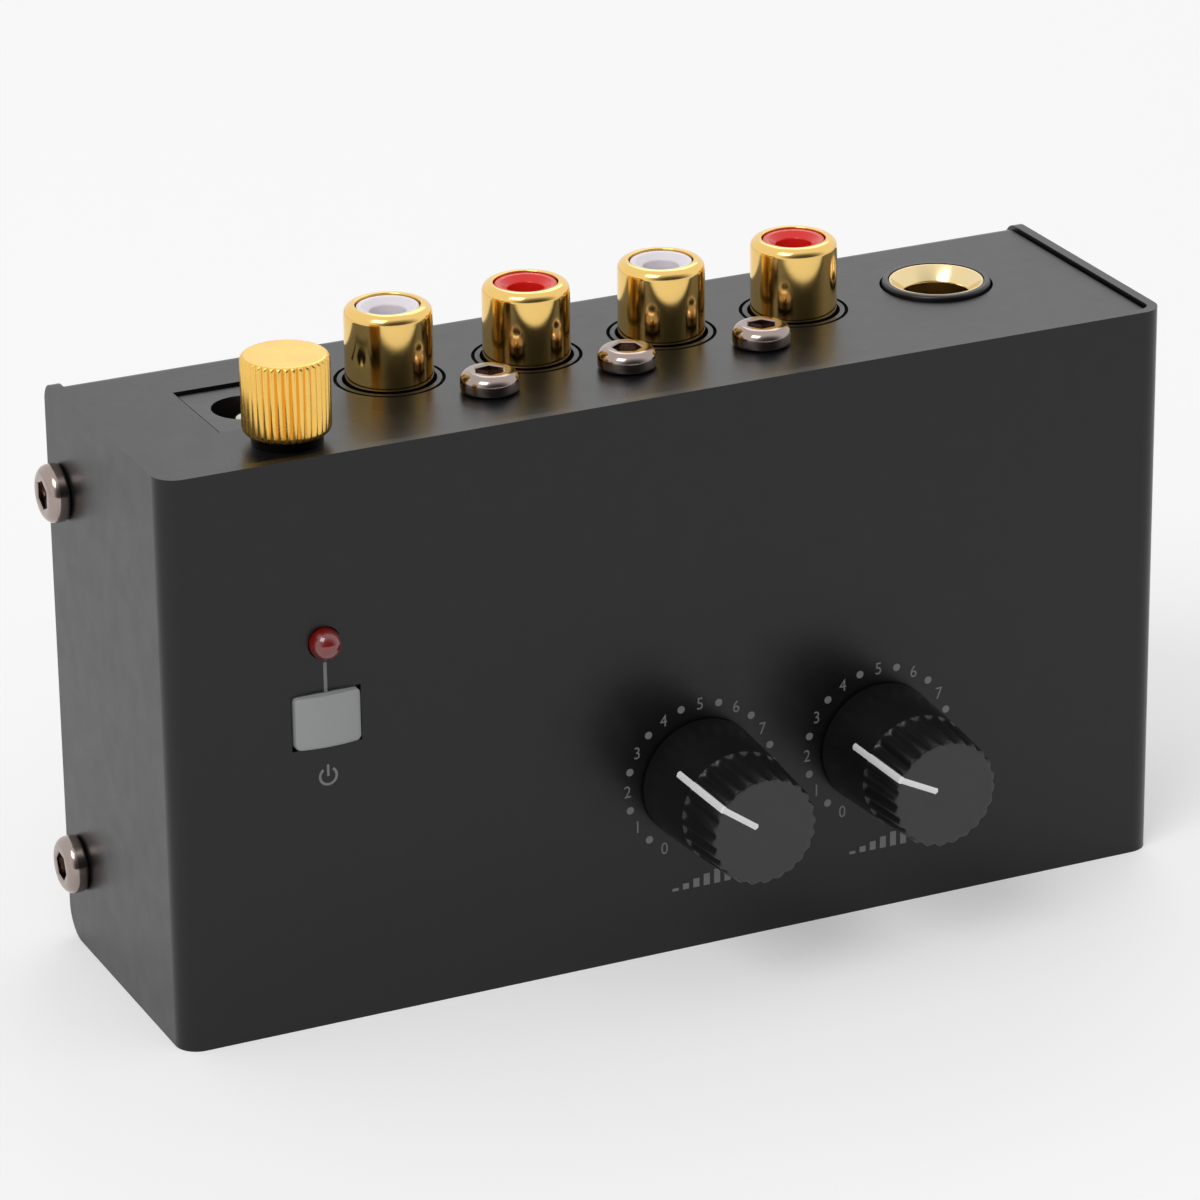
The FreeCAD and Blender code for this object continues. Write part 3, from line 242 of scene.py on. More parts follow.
def piece(name, points, faces, materials, body, stands_for=(), which=None, angle=32):
    """Mesh piece that rides on a body and stands for CAD nodes."""
    mesh = bpy.data.meshes.new(name)
    mesh.from_pydata([Vector(point) / 1000 for point in points], [], faces)
    for material in materials:
        mesh.materials.append(material)
    if which:
        mesh.polygons.foreach_set("material_index", which)
    shape = bmesh.new()
    shape.from_mesh(mesh)
    bmesh.ops.remove_doubles(shape, verts=shape.verts, dist=1e-7)
    bmesh.ops.recalc_face_normals(shape, faces=shape.faces)
    shape.to_mesh(mesh)
    shape.free()
    mesh.shade_smooth()
    mesh.set_sharp_from_angle(angle=math.radians(angle))
    item = bpy.data.objects.new(name, mesh)
    bpy.context.scene.collection.objects.link(item)
    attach(item, body)
    if stands_for:
        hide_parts(*stands_for)
    return item


def eased(corners, steps=6):
    """Profile whose corners, given as radius, height and rounding, become arcs."""
    path = []
    for index, (across, up, ease) in enumerate(corners):
        here = Vector((across, up))
        if not ease:
            path.append(here)
            continue
        back = Vector(corners[index - 1][:2]) - here
        ahead = Vector(corners[(index + 1) % len(corners)][:2]) - here
        half = back.angle(ahead) / 2
        reach = ease / math.tan(half)
        inward = (back.normalized() + ahead.normalized()).normalized()
        middle = here + inward * ease / math.sin(half)
        first = here + back.normalized() * reach - middle
        last = here + ahead.normalized() * reach - middle
        swing = first.angle_signed(last)
        for step in range(steps + 1):
            path.append(middle + Matrix.Rotation(-swing * step / steps, 2) @ first)
    return path


def lathe(path, sides, place, closed=False):
    """Points and faces of a turned form. A radius can be a number or a function of the angle."""
    points, faces = [], []
    for radius, up in path:
        for side in range(sides):
            turn = 2 * math.pi * side / sides
            reach = radius(turn) if callable(radius) else radius
            points.append(place @ Vector((reach * math.cos(turn), reach * math.sin(turn), up)))
    rows = len(path) if closed else len(path) - 1
    for row in range(rows):
        after = (row + 1) % len(path)
        for side in range(sides):
            beside = (side + 1) % sides
            faces.append((row * sides + side, row * sides + beside, after * sides + beside,
                          after * sides + side))
    return points, faces


def joined(parts):
    """Several lots of points and faces as one."""
    points, faces = [], []
    for more_points, more_faces in parts:
        faces += [tuple(index + len(points) for index in face) for face in more_faces]
        points += more_points
    return points, faces


def box_form(low, high, place):
    """Points and faces of a box between two corners."""
    points = [place @ Vector((x, y, z)) for z in (low[2], high[2]) for y in (low[1], high[1])
              for x in (low[0], high[0])]
    return points, [(0, 2, 3, 1), (4, 5, 7, 6), (0, 1, 5, 4), (2, 6, 7, 3), (0, 4, 6, 2),
                    (1, 3, 7, 5)]


def at(across, back, up):
    """Upright frame at a point."""
    return Matrix.Translation((across, back, up))


def on_panel(node_name, turn=0.0):
    """Frame on the knob panel's face over a CAD node, with Z out of the panel."""
    across, back, up = centre(node_name)
    return at(across, FRONT, up) @ OUTWARD @ Matrix.Rotation(turn, 4, "Z")


def powder_coat(settings):
    """Polyester powder coat, baked on steel: black, satin, with a faint pebbling of melted
    grains about 0.25 mm wide, drawn no coarser than it is."""
    return coated("powder_coated_steel", settings.coat,
                  {"Roughness": settings.coat_roughness, "IOR": 1.42}, 0.25, 0.004, 0.35, 0.03)


def black_nickel(settings):
    """Black nickel plate over turned steel: a dark mirror with a warm cast."""
    return coated("black_nickel_plated_steel", settings.screw,
                  {"Metallic": 1.0, "Roughness": 0.13}, 0.3, 0.003, 0.3, 0.04)


def gold_plate(settings):
    """Gold flash over polished brass: a yellow mirror with fine turning lines 0.1 mm apart."""
    return coated("gold_plated_brass_polished", settings.gold,
                  {"Metallic": 1.0, "Roughness": 0.12}, 0.6, 0.002, 0.25, 0.03, (0.2, 0.2, 4))


def satin_gold(settings):
    """Gold flash over knurled brass: bright ridges with a soft, slightly grained sheen."""
    return coated("gold_plated_brass_knurled", settings.satin,
                  {"Metallic": 1.0, "Roughness": 0.24}, 0.2, 0.005, 0.4, 0.05)


def moulded(name, colour, roughness, grain=0.2, relief=0.006):
    """Moulded plastic with the fine spark grain of its tool."""
    return coated(name, colour, {"Roughness": roughness, "IOR": 1.5}, grain, relief, 0.4, 0.04)


def screw_form(place, head, high, socket):
    """Low head with a rounded rim and a hex socket."""
    def hexagon(grow):
        return lambda turn: (socket / 2 + grow) / math.cos((turn % (math.pi / 3)) - math.pi / 6)
    rim = eased([(head / 2 - 0.5, 0.0, 0), (head / 2, 0.0, 0.45), (head / 2, high, 1.0),
                 (socket / 2 + 0.5, high, 0)], 10)
    path = [(0, 0.0)] + [tuple(spot) for spot in rim]
    path += [(hexagon(0.12), high), (hexagon(0), high - 0.12), (hexagon(0), high - 1.2),
             (0, high - 1.35)]
    return lathe(path, 72, place)


def shank_form(place, long):
    """Plain cylinder under a screw head."""
    return lathe([(0, -long), (SHANK_RADIUS, -long), (SHANK_RADIUS, 0)], 24, place)


class PREAMP_OT_case(bpy.types.Operator):
    """Paint the folded cover and chassis"""
    bl_idname = "preamp.case"
    bl_label = "Case"

    def execute(self, context):
        paint = powder_coat(context.scene.preamp_case)
        for name in ("cover", "chassis"):
            dress(name, paint)
        rubber = coated("nitrile_rubber_moulded", linear("#1a1a1a"),
                        {"Roughness": 0.8, "IOR": 1.52}, 0.4, 0.02)
        dress("rubber_feet", rubber)
        return {"FINISHED"}


class PREAMP_OT_screws(bpy.types.Operator):
    """Model the socket screws of the side panels and of the jack panel"""
    bl_idname = "preamp.screws"
    bl_label = "Screws"

    def execute(self, context):
        settings = context.scene.preamp_case
        plate = black_nickel(settings)
        sizes = (settings.screw_head, settings.screw_high, settings.socket)
        low, high = corners_of("jack_screws")
        back, first, last = (low[1] + high[1]) / 2, low[0] + sizes[0] / 2, high[0] - sizes[0] / 2
        forms = []
        # Each screw stopped at its own angle, in degrees.
        for step, turn in enumerate((10, 33, 4)):
            across = first + (last - first) * step / 2
            stand = at(across, back, PANEL_TOP) @ Matrix.Rotation(math.radians(turn), 4, "Z")
            forms += [screw_form(stand, *sizes), shank_form(stand, JACK_SHANK)]
        piece("jack_panel_screws", *joined(forms), [plate], "case", ["jack_screws"])
        low, high = corners_of("side_screws")
        back = (low[1] + high[1]) / 2
        forms = []
        for side, reach, turn in ((-1, low[0] + sizes[1], 12), (1, high[0] - sizes[1], 40)):
            for up in (low[2] + sizes[0] / 2, high[2] - sizes[0] / 2):
                stand = at(reach, back, up) @ Matrix.Rotation(math.radians(90 * side), 4, "Y")
                stand = stand @ Matrix.Rotation(math.radians(turn + up), 4, "Z")
                forms += [screw_form(stand, *sizes), shank_form(stand, SIDE_SHANK)]
        piece("side_panel_screws", *joined(forms), [plate], "case", ["side_screws"])
        return {"FINISHED"}


class PREAMP_OT_phono_sockets(bpy.types.Operator):
    """Model the shells and insulators of the four phono sockets"""
    bl_idname = "preamp.phono_sockets"
    bl_label = "Phono sockets"

    def execute(self, context):
        settings = context.scene.preamp_sockets
        gold = gold_plate(settings)
        tones = {"white": moulded("pbt_moulded_white", settings.white, 0.25, 0.5, 0.003),
                 "red": moulded("pbt_moulded_red", settings.red, 0.25, 0.5, 0.003)}
        nylon = moulded("nylon_moulded_black", settings.collar, 0.42)
        dress("phono_housing", nylon)
        for number in range(1, 5):
            tone = "white" if number % 2 else "red"
            sleeve = "phono_insulator_%s_%d" % (tone, number)
            across, back, middle = centre(sleeve)
            low = corners_of(sleeve)[0][2]
            top = corners_of("phono_shell_%d" % number)[1][2]
            high = top - settings.insulator_sink
            stand = at(across, back, 0)
            neck = PANEL_TOP + NECK_RISE
            shell = eased([(SHELL_BORE, low, 0), (SHELL_NECK, low, 0), (SHELL_NECK, neck, 0),
                           (SHELL_RADIUS, neck, 0), (SHELL_RADIUS, top, settings.shell_round),
                           (SHELL_BORE, top, 0.12)], 10)
            foot = low - TAIL_LONG
            tail = box_form((3.0, -0.25, foot), (4.2, 0.25, low), stand)
            strip = box_form((3.0, -0.25, foot), (4.2, 8.1, foot + 0.5), stand)
            piece("shell_%d" % number, *joined([lathe(shell, 96, stand, True), tail, strip]), [gold],
                  "case", ["phono_shell_%d" % number])
            dish = eased([(CONTACT_ROOM, low, 0), (INSULATOR_RADIUS, low, 0),
                          (INSULATOR_RADIUS, high, 0.15), (2.5, high - 0.05, 0.3),
                          (INSULATOR_HOLE, high - 0.55, 0.2), (INSULATOR_HOLE, high - 3.0, 0),
                          (CONTACT_ROOM, high - 3.0, 0)], 5)
            piece("insulator_%d" % number, *lathe(dish, 72, stand, True), [tones[tone]], "case",
                  [sleeve])
            dress("phono_contact_%d" % number, gold)
        return {"FINISHED"}


class PREAMP_OT_jack_socket(bpy.types.Operator):
    """Model the flared bushing of the jack socket"""
    bl_idname = "preamp.jack_socket"
    bl_label = "Jack socket"

    def execute(self, context):
        settings = context.scene.preamp_sockets
        dress("jack_body", moulded("nylon_moulded_jack", settings.collar, 0.35))
        bright = coated("gold_plated_bushing", settings.flare,
                        {"Metallic": 1.0, "Roughness": 0.15}, 0.6, 0.002, 0.3, 0.03)
        across, back, middle = centre("jack_bushing")
        low, high = [corner[2] for corner in corners_of("jack_bushing")]
        flare = eased([(JACK_BORE, low, 0), (BUSHING_RADIUS, low, 0), (BUSHING_RADIUS, high, 0.1),
                       (FLARE_RADIUS, high, 0.1), (JACK_BORE, high - FLARE_DEEP, 0.35)], 6)
        piece("jack_flare", *lathe(flare, 96, at(across, back, 0), True), [bright], "case",
              ["jack_bushing"])
        return {"FINISHED"}


class PREAMP_OT_power_socket(bpy.types.Operator):
    """Finish the DC socket"""
    bl_idname = "preamp.power_socket"
    bl_label = "DC socket"

    def execute(self, context):
        settings = context.scene.preamp_sockets
        dress("power_socket_body", moulded("abs_moulded_socket", settings.collar, 0.3))
        plate = coated("nickel_plated_brass", linear("#c9c4b8"),
                       {"Metallic": 1.0, "Roughness": 0.2}, 0.3, 0.003, 0.4, 0.04)
        for name in ("power_socket_pin", "power_socket_spring", "jack_springs"):
            dress(name, plate)
        return {"FINISHED"}


class PREAMP_OT_ground_terminal(bpy.types.Operator):
    """Model the knurled thumb nut and colour the washer under it near-black as painted shade"""
    bl_idname = "preamp.ground_terminal"
    bl_label = "Ground terminal"

    def execute(self, context):
        settings = context.scene.preamp_sockets
        across, back, middle = centre("ground_thumb_nut")
        low, high = [corner[2] for corner in corners_of("ground_thumb_nut")]

        def ridged(limit):
            def radius(turn):
                wave = abs((turn * settings.ridges / math.pi) % 2 - 1)
                return min(limit, THUMB_RADIUS - settings.ridge_deep * (1 - wave) ** 1.3)
            return radius
        rim = [(THUMB_BORE, low), (ridged(3.55), low), (ridged(3.8), low + 0.12),
               (ridged(4.0), low + 0.35), (ridged(THUMB_RADIUS), low + 0.6),
               (ridged(THUMB_RADIUS), high - 0.4), (ridged(4.02), high - 0.2),
               (ridged(3.9), high - 0.08), (3.76, high), (3.65, high), (0, high)]
        bore_end = low + THUMB_BORE_DEEP
        inside = [(THUMB_BORE, low), (THUMB_BORE, bore_end), (0, bore_end)]
        stand = at(across, back, 0)
        sides = settings.ridges * 10
        piece("thumb_nut", *joined([lathe(rim, sides, stand), lathe(inside, sides, stand)]),
              [satin_gold(settings)], "terminal_nut", ["ground_thumb_nut"], angle=45)
        # Painted shade: the washer under the thumb nut is coloured near-black to stand for the shade
        # in the gap under the nut.
        dark = coated("steel_washer_painted_shade", linear("#1c1a19"),
                      {"Metallic": 1.0, "Roughness": 0.35}, 0.2, 0.004, 0.4, 0.04)
        dress("ground_washer", dark)
        return {"FINISHED"}


def ribbon(stand, path, half_wide, deep):
    """Raised strip along a path of radius and height, with round ends and a soft crown."""
    spots, run = [], 0.0
    for before, after in zip(path, path[1:]):
        span = (Vector(after) - Vector(before)).length
        steps = max(2, int(span / 0.12))
        for step in range(steps):
            spots.append((Vector(before).lerp(Vector(after), step / steps),
                          run + span * step / steps))
        run += span
    spots.append((Vector(path[-1]), run))
    points, faces = [], []
    rows = 7
    for index, (spot, gone) in enumerate(spots):
        near = min(gone, run - gone)
        wide = half_wide
        if near < half_wide:
            wide = math.sqrt(max(0.0, half_wide ** 2 - (half_wide - near) ** 2))
        ahead = spots[min(index + 1, len(spots) - 1)][0] - spots[max(index - 1, 0)][0]
        out = Vector((ahead.y, -ahead.x)).normalized()
        for row in range(rows):
            if 0 < row < rows - 1:
                across = wide * (row / (rows - 3) * 2 - 1 - 2 / (rows - 3))
            else:
                across = -wide if row == 0 else wide
            sink = deep if row in (0, rows - 1) else 0.06 * (abs(across) / half_wide) ** 4
            place = spot - out * sink
            points.append(stand @ Vector((across, place.x, place.y)))
    for index in range(len(spots) - 1):
        for row in range(rows - 1):
            first = index * rows + row
            faces.append((first, first + 1, first + rows + 1, first + rows))
    return points, faces


class PREAMP_OT_knobs(bpy.types.Operator):
    """Model both fluted knobs with their pointer inlays"""
    bl_idname = "preamp.knobs"
    bl_label = "Knobs"

    def execute(self, context):
        settings = context.scene.preamp_controls
        side = moulded("abs_moulded_knob", settings.knob, 0.36, 0.3, 0.003)
        face = moulded("abs_moulded_knob_face", settings.face, 0.45, 0.2, 0.004)
        inlay = moulded("abs_moulded_pointer", settings.pointer, 0.35)
        for name, turn in (("level", settings.level_turn), ("volume", settings.volume_turn)):
            stand = on_panel(name + "_pot_shaft", turn)
            top = KNOB_REACH

            def fluted(radius, deep):
                def reach(angle):
                    wave = 0.5 - 0.5 * math.cos(angle * settings.flutes)
                    return radius - settings.flute_deep * deep * (1 - wave ** 0.8)
                return reach
            path = [(KNOB_BORE, KNOB_GAP), (5.95, KNOB_GAP), (6.1, 0.38), (6.14, 0.55),
                    (5.93, 4.5), (5.75, 7.95)]
            path += [(fluted(5.745, 0.0), 8.0), (fluted(5.735, 0.55), 8.12),
                     (fluted(5.72, 0.9), 8.3), (fluted(5.7, 1.0), 8.6), (fluted(5.52, 1.0), 11.0),
                     (fluted(5.37, 1.0), top - 0.18), (fluted(5.3, 0.85), top - 0.06)]
            sides = settings.flutes * 12
            edge = (fluted(5.18, 0.7), top)
            skin = lathe(path + [edge], sides, stand)
            front = lathe([edge, (4.6, top), (0, top)], sides, stand)
            bore = lathe([(KNOB_BORE, KNOB_GAP), (KNOB_BORE, KNOB_BORE_END), (0, KNOB_BORE_END)],
                         48, stand)
            count = len(skin[1])
            points, faces = joined([skin, bore, front])
            which = [0] * (count + len(bore[1])) + [1] * len(front[1])
            piece(name + "_knob_body", points, faces, [side, face], "knob_" + name,
                  [name + "_knob"], which)
            start = KNOB_BASE - POINTER_START * KNOB_TAPER
            crest = top + POINTER_PROUD
            strip = ribbon(stand, [(start + POINTER_PROUD, KNOB_GAP + POINTER_START), (5.79, 8.0),
                                   (5.4, top - 0.05), (5.28, crest), (POINTER_STOP, crest)],
                           POINTER_HALF, POINTER_DEEP)
            piece(name + "_inlay", *strip, [inlay], "knob_" + name, [name + "_pointer"], angle=50)
        metal = coated("aluminium_turned_shaft", linear("#c9cacc"),
                       {"Metallic": 1.0, "Roughness": 0.3}, 0.3, 0.003, 0.4, 0.04)
        for name in ("level", "volume"):
            dress(name + "_pot_shaft", metal)
        return {"FINISHED"}


class PREAMP_OT_button(bpy.types.Operator):
    """Model the power button with its cylindrical dome"""
    bl_idname = "preamp.button"
    bl_label = "Button"

    def execute(self, context):
        settings = context.scene.preamp_controls
        grey = moulded("abs_moulded_button", settings.button, 0.4)
        stand = on_panel("power_button_cap")
        half_wide, half_tall, corner = BUTTON_HALF_WIDE, BUTTON_HALF_TALL, BUTTON_CORNER
        ring = []
        for quarter in range(4):
            middle = Vector(((half_wide - corner) * (1 if quarter in (0, 3) else -1),
                             (half_tall - corner) * (1 if quarter in (0, 1) else -1)))
            for step in range(7):
                turn = math.radians(90 * quarter + 15 * step)
                ring.append(middle + Vector((math.cos(turn), math.sin(turn))) * corner)
            target = [(-1, 1), (-1, -1), (1, -1), (1, 1)][quarter]
            goal = Vector((target[0] * (half_wide - (corner if quarter in (0, 2) else 0)),
                           target[1] * (half_tall - (corner if quarter in (1, 3) else 0))))
            begin = ring[-1].copy()
            ring += [begin.lerp(goal, step / 10) for step in range(1, 10)]
        points, faces = [], []
        # Share of the outline, then a fixed height or a drop from the dome.
        levels = [(1.0, -2.0, None), (1.0, None, -0.22), (0.985, None, -0.08), (0.95, None, -0.01)]
        levels += [(1 - 0.95 * step / 10 - 0.05, None, 0.0) for step in range(1, 10)]
        for scale, flat, sink in levels:
            for spot in ring:
                across, up = spot.x * scale, spot.y * scale
                rise = flat
                if flat is None:
                    rise = BUTTON_PROUD + BUTTON_DOME * (1 - (across / half_wide) ** 2) + sink
                points.append(stand @ Vector((across, up, rise)))
        count = len(ring)
        for row in range(len(levels) - 1):
            for side in range(count):
                beside = (side + 1) % count
                faces.append((row * count + side, row * count + beside,
                              (row + 1) * count + beside, (row + 1) * count + side))
        faces.append(tuple((len(levels) - 1) * count + side for side in range(count)))
        forms = [(points, faces), box_form((-3.95, -3.25, -2.0), (3.95, 3.25, -1.2), stand),
                 box_form((-2, -2, -9.8), (2, 2, -2.0), stand)]
        piece("button_cap", *joined(forms), [grey], "button", ["power_button_cap"], angle=40)
        dress("switch_plunger", moulded("pom_moulded_plunger", linear("#d8d7d0"), 0.4))
        return {"FINISHED"}


class PREAMP_OT_lamp(bpy.types.Operator):
    """Model the lamp's lens"""
    bl_idname = "preamp.lamp"
    bl_label = "Lamp"

    def execute(self, context):
        settings = context.scene.preamp_controls
        stand = on_panel("power_lamp")
        epoxy = coated("epoxy_cast_red", settings.lamp,
                       {"Roughness": 0.12, "IOR": 1.55, "Coat Weight": 1.0,
                        "Coat Roughness": 0.03, "Subsurface Weight": 0.3,
                        "Subsurface Radius": (0.001, 0.0002, 0.0002)}, 1.0, 0.003, 0.2)
        turns = [math.radians(10 * step) for step in range(9)]
        dome = [(LAMP_RADIUS * math.cos(turn), LAMP_PROUD + LAMP_RADIUS * math.sin(turn))
                for turn in turns] + [(0, LAMP_PROUD + LAMP_RADIUS)]
        path = [(0, -3.7), (LAMP_FLANGE, -3.7), (LAMP_FLANGE, -2.7), (LAMP_RADIUS, -2.7)] + dome
        piece("lamp_lens", *lathe(path, 64, stand), [epoxy], "case", ["power_lamp"])
        return {"FINISHED"}


def printed(stand, outlines):
    """Flat marks laid just over the panel, each one face."""
    points, faces = [], []
    for form in outlines:
        faces.append(tuple(range(len(points), len(points) + len(form))))
        points += [stand @ Vector((across, up, INK_LIFT)) for across, up in form]
    return points, faces


def dot(across, up, radius):
    """Round printed dot."""
    return [(across + radius * math.cos(math.radians(step * 15)),
             up + radius * math.sin(math.radians(step * 15))) for step in range(24)]


def digits(text, high, across, up, stand):
    """Printed number as points and faces, centred on a spot."""
    curve = bpy.data.curves.new("number", "FONT")
    curve.body = text
    curve.align_x = "CENTER"
    holder = bpy.data.objects.new("number", curve)
    bpy.context.scene.collection.objects.link(holder)
    mesh = bpy.data.meshes.new_from_object(holder)
    spots = [vertex.co for vertex in mesh.vertices]
    low, top = min(spot.y for spot in spots), max(spot.y for spot in spots)
    left, right = min(spot.x for spot in spots), max(spot.x for spot in spots)
    scale = high / (top - low)
    points = [stand @ Vector((across + (spot.x - (left + right) / 2) * scale * 0.9,
                              up + (spot.y - (low + top) / 2) * scale, INK_LIFT))
              for spot in spots]
    faces = [tuple(polygon.vertices) for polygon in mesh.polygons]
    bpy.data.objects.remove(holder)
    bpy.data.meshes.remove(mesh)
    return points, faces


class PREAMP_OT_print(bpy.types.Operator):
    """Print the dials, the lamp's line and plain symbols on the knob panel"""
    bl_idname = "preamp.print"
    bl_label = "Printed marks"

    def execute(self, context):
        case, controls = context.scene.preamp_case, context.scene.preamp_controls
        ink = coated("epoxy_ink_screen_printed", case.ink, {"Roughness": 0.55, "IOR": 1.5},
                     0.15, 0.003, 0.4, 0.04)
        flat = at(0, FRONT, 0) @ OUTWARD
        for name in ("level", "volume"):
            across, back, up = centre(name + "_pot_shaft")
            lots, dots = [], []
            for number in range(11):
                turn = math.radians(-150 + 30 * number)
                lots.append(digits(str(number), controls.digit,
                                   across + controls.dial * math.sin(turn),
                                   up + controls.dial * math.cos(turn), flat))
                if number < 10:
                    turn += math.radians(15)
                    dots.append(dot(across + controls.dial * math.sin(turn),
                                    up + controls.dial * math.cos(turn), 0.38))
            wedge = [[(across - 3 + step * 1.1, up - 11.3), (across - 2.35 + step * 1.1, up - 11.3),
                      (across - 2.35 + step * 1.1, up - 11.0 + step * 0.3),
                      (across - 3 + step * 1.1, up - 11.0 + step * 0.3)] for step in range(6)]
            piece(name + "_dial_print", *joined(lots + [printed(flat, dots + wedge)]), [ink], "case")
        across, back, up = centre("power_lamp")
        low = centre("power_button_cap")[2] - 5.75
        marks = [[(across - 0.17, up - 4.9), (across + 0.17, up - 4.9), (across + 0.17, up - 1.9),
                  (across - 0.17, up - 1.9)],
                 [(across - 0.12, low), (across + 0.12, low), (across + 0.12, low + 1.15),
                  (across - 0.12, low + 1.15)]]
        for step in range(20):
            edge = [math.radians(125 + 14.5 * (step + part)) for part in (0, 1)]
            marks.append([(across + 0.95 * math.cos(edge[0]), low + 0.95 * math.sin(edge[0])),
                          (across + 0.95 * math.cos(edge[1]), low + 0.95 * math.sin(edge[1])),
                          (across + 0.7 * math.cos(edge[1]), low + 0.7 * math.sin(edge[1])),
                          (across + 0.7 * math.cos(edge[0]), low + 0.7 * math.sin(edge[0]))])
        piece("power_print", *printed(flat, marks), [ink], "case")
        return {"FINISHED"}


class PREAMP_OT_inside(bpy.types.Operator):
    """Finish the board and what stands on it"""
    bl_idname = "preamp.inside"
    bl_label = "Inside"

    def execute(self, context):
        finishes = [
            (coated("glass_epoxy_solder_resist", linear("#1f5a34"),
                    {"Roughness": 0.35, "IOR": 1.55}, 0.5, 0.01), ["circuit_board"]),
            (coated("nickel_plated_steel", linear("#b9b7b1"),
                    {"Metallic": 1.0, "Roughness": 0.3}, 0.3, 0.004),
             ["board_standoffs", "board_screws", "ground_stud", "ground_inner_nut", "ground_lug",
              "lamp_leads", "level_pot_bushing", "volume_pot_bushing"]),
            (moulded("pbt_moulded_components", linear("#1a1a1b"), 0.5),
             ["switch_body", "op_amps", "voltage_regulator", "level_pot_body", "volume_pot_body",
              "lamp_spacer"]),
            (moulded("pvc_sleeve_shrunk", linear("#1b2233"), 0.3), ["electrolytic_capacitors"]),
            (moulded("epoxy_cast_box", linear("#9a2a20"), 0.35), ["film_capacitors"]),
            (coated("lacquer_dipped_resistor", linear("#7fa6b8"),
                    {"Roughness": 0.4, "IOR": 1.5}, 0.4, 0.01), ["resistors"]),
        ]
        for material, names in finishes:
            for name in names:
                dress(name, material)
        return {"FINISHED"}


class PREAMP_OT_stage(bpy.types.Operator):
    """Set the floor, the light and the camera"""
    bl_idname = "preamp.stage"
    bl_label = "Stage"

    def execute(self, context):
        settings = context.scene.preamp_stage
        scene = context.scene
        scene.view_settings.view_transform = "Standard"
        lay_floor(settings)
        light_room(settings)
        camera = bpy.data.cameras.new("camera")
        camera.sensor_width = 36
        camera.lens = settings.lens
        camera.clip_start, camera.clip_end = 0.01, 50
        holder = bpy.data.objects.new("camera", camera)
        scene.collection.objects.link(holder)
        right, above, back, spot = CAMERA
        turned = Matrix((right, above, back)).transposed().to_4x4()
        holder.matrix_world = Matrix.Translation(spot) @ turned
        scene.camera = holder
        return {"FINISHED"}


def lay_floor(settings):
    """Pale matt floor. The camera and mirrors see it lifted to white, with the shadow kept."""
    material = bpy.data.materials.new("paper_backdrop_matt")
    material.use_nodes = True
    tree = material.node_tree
    tree.nodes.clear()
    rays = node(tree, "ShaderNodeLightPath")
    seen = node(tree, "ShaderNodeMath", {0: rays.outputs["Is Camera Ray"],
                                         1: rays.outputs["Is Glossy Ray"]}, operation="MAXIMUM")
    seen = node(tree, "ShaderNodeMath", {0: seen.outputs[0],
                                         1: rays.outputs["Is Transmission Ray"]},
                operation="MAXIMUM")
    paper = node(tree, "ShaderNodeBsdfDiffuse", {"Color": (*settings.floor, 1)})
    lift = node(tree, "ShaderNodeMath", {0: seen.outputs[0], 1: FLOOR_LIFT},
                operation="MULTIPLY")
    glow = node(tree, "ShaderNodeEmission", {"Strength": lift.outputs[0]})
    both = node(tree, "ShaderNodeAddShader", {0: paper.outputs[0], 1: glow.outputs[0]})
    node(tree, "ShaderNodeOutputMaterial", {"Surface": both.outputs[0]})
    mesh = bpy.data.meshes.new("floor")
    mesh.from_pydata([(-6, -6, 0), (6, -6, 0), (6, 6, 0), (-6, 6, 0)], [], [(0, 1, 2, 3)])
    mesh.materials.append(material)
    floor = bpy.data.objects.new("floor", mesh)
    bpy.context.scene.collection.objects.link(floor)


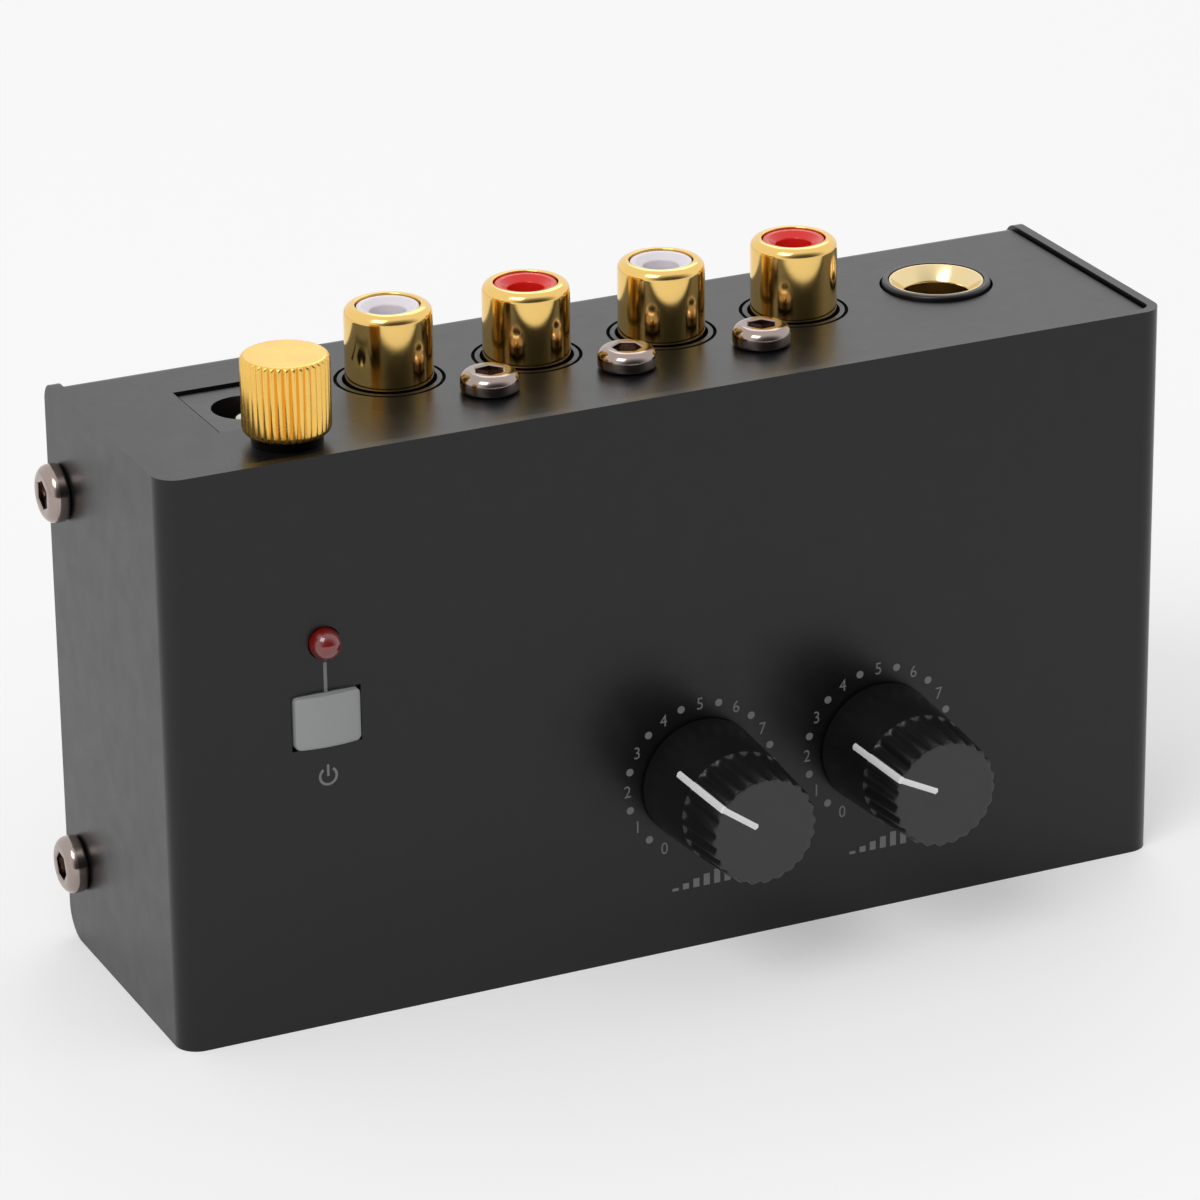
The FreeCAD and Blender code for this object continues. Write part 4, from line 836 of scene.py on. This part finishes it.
def light_room(settings):
    """White room: even light for matt surfaces, white for the camera and for mirrors."""
    world = bpy.data.worlds.new("white_room")
    bpy.context.scene.world = world
    world.use_nodes = True
    tree = world.node_tree
    tree.nodes.clear()
    rays = node(tree, "ShaderNodeLightPath")
    seen = node(tree, "ShaderNodeMath", {0: rays.outputs["Is Camera Ray"],
                                         1: rays.outputs["Is Transmission Ray"]},
                operation="MAXIMUM")
    plain = node(tree, "ShaderNodeBackground", {"Color": (1, 1, 1, 1), "Strength": settings.light})
    white = node(tree, "ShaderNodeBackground", {"Color": (1, 1, 1, 1), "Strength": 1.0})
    way = node(tree, "ShaderNodeTexCoord").outputs["Generated"]
    parts = node(tree, "ShaderNodeSeparateXYZ", {"Vector": way})
    fall = node(tree, "ShaderNodeMapRange", {"Value": parts.outputs["Y"], "From Min": -0.95,
                                             "From Max": -0.35, "To Min": 0.08, "To Max": 1.0},
                interpolation_type="SMOOTHSTEP")
    mirror = node(tree, "ShaderNodeBackground", {"Color": (1, 1, 1, 1),
                                                 "Strength": fall.outputs[0]})
    first = node(tree, "ShaderNodeMixShader", {0: rays.outputs["Is Glossy Ray"],
                                               1: plain.outputs[0], 2: mirror.outputs[0]})
    second = node(tree, "ShaderNodeMixShader", {0: seen.outputs[0], 1: first.outputs[0],
                                                2: white.outputs[0]})
    node(tree, "ShaderNodeOutputWorld", {"Surface": second.outputs[0]})
    for name, spot, size, power in (("key_softbox", (-0.5, -0.35, 0.75), 0.45, 2.5),
                                    ("back_softbox", (0.35, 0.55, 0.6), 0.4, 0.7)):
        lamp = bpy.data.lights.new(name, "AREA")
        lamp.shape = "SQUARE"
        lamp.size = size
        lamp.energy = power
        holder = bpy.data.objects.new(name, lamp)
        bpy.context.scene.collection.objects.link(holder)
        holder.location = spot
        aim = Vector((0, 0, 0.03)) - Vector(spot)
        holder.rotation_euler = aim.to_track_quat("-Z", "Y").to_euler()


PIECES = [PREAMP_OT_case, PREAMP_OT_screws, PREAMP_OT_phono_sockets, PREAMP_OT_jack_socket,
          PREAMP_OT_power_socket, PREAMP_OT_ground_terminal, PREAMP_OT_knobs, PREAMP_OT_button,
          PREAMP_OT_lamp, PREAMP_OT_print, PREAMP_OT_inside, PREAMP_OT_stage]
GROUPS = [("preamp_case", CaseSettings), ("preamp_sockets", SocketSettings),
          ("preamp_controls", ControlSettings), ("preamp_stage", StageSettings)]


class PREAMP_PT_pieces(bpy.types.Panel):
    """Settings and steps of the preamp"""
    bl_label = "Phono preamp"
    bl_idname = "PREAMP_PT_pieces"
    bl_space_type = "VIEW_3D"
    bl_region_type = "UI"
    bl_category = "Preamp"

    def draw(self, context):
        for name, group in GROUPS:
            box = self.layout.box()
            for prop in group.__annotations__:
                box.prop(getattr(context.scene, name), prop)
        for step in PIECES:
            self.layout.operator(step.bl_idname)


def register():
    for name, group in GROUPS:
        bpy.utils.register_class(group)
        setattr(bpy.types.Scene, name, bpy.props.PointerProperty(type=group))
    for step in PIECES + [PREAMP_PT_pieces]:
        bpy.utils.register_class(step)


def unregister():
    for step in reversed(PIECES + [PREAMP_PT_pieces]):
        bpy.utils.unregister_class(step)
    for name, group in reversed(GROUPS):
        delattr(bpy.types.Scene, name)
        bpy.utils.unregister_class(group)


def main():
    """Build every piece in order."""
    register()
    for step in PIECES:
        group, name = step.bl_idname.split(".")
        getattr(getattr(bpy.ops, group), name)()


if __name__ == "__main__":
    main()
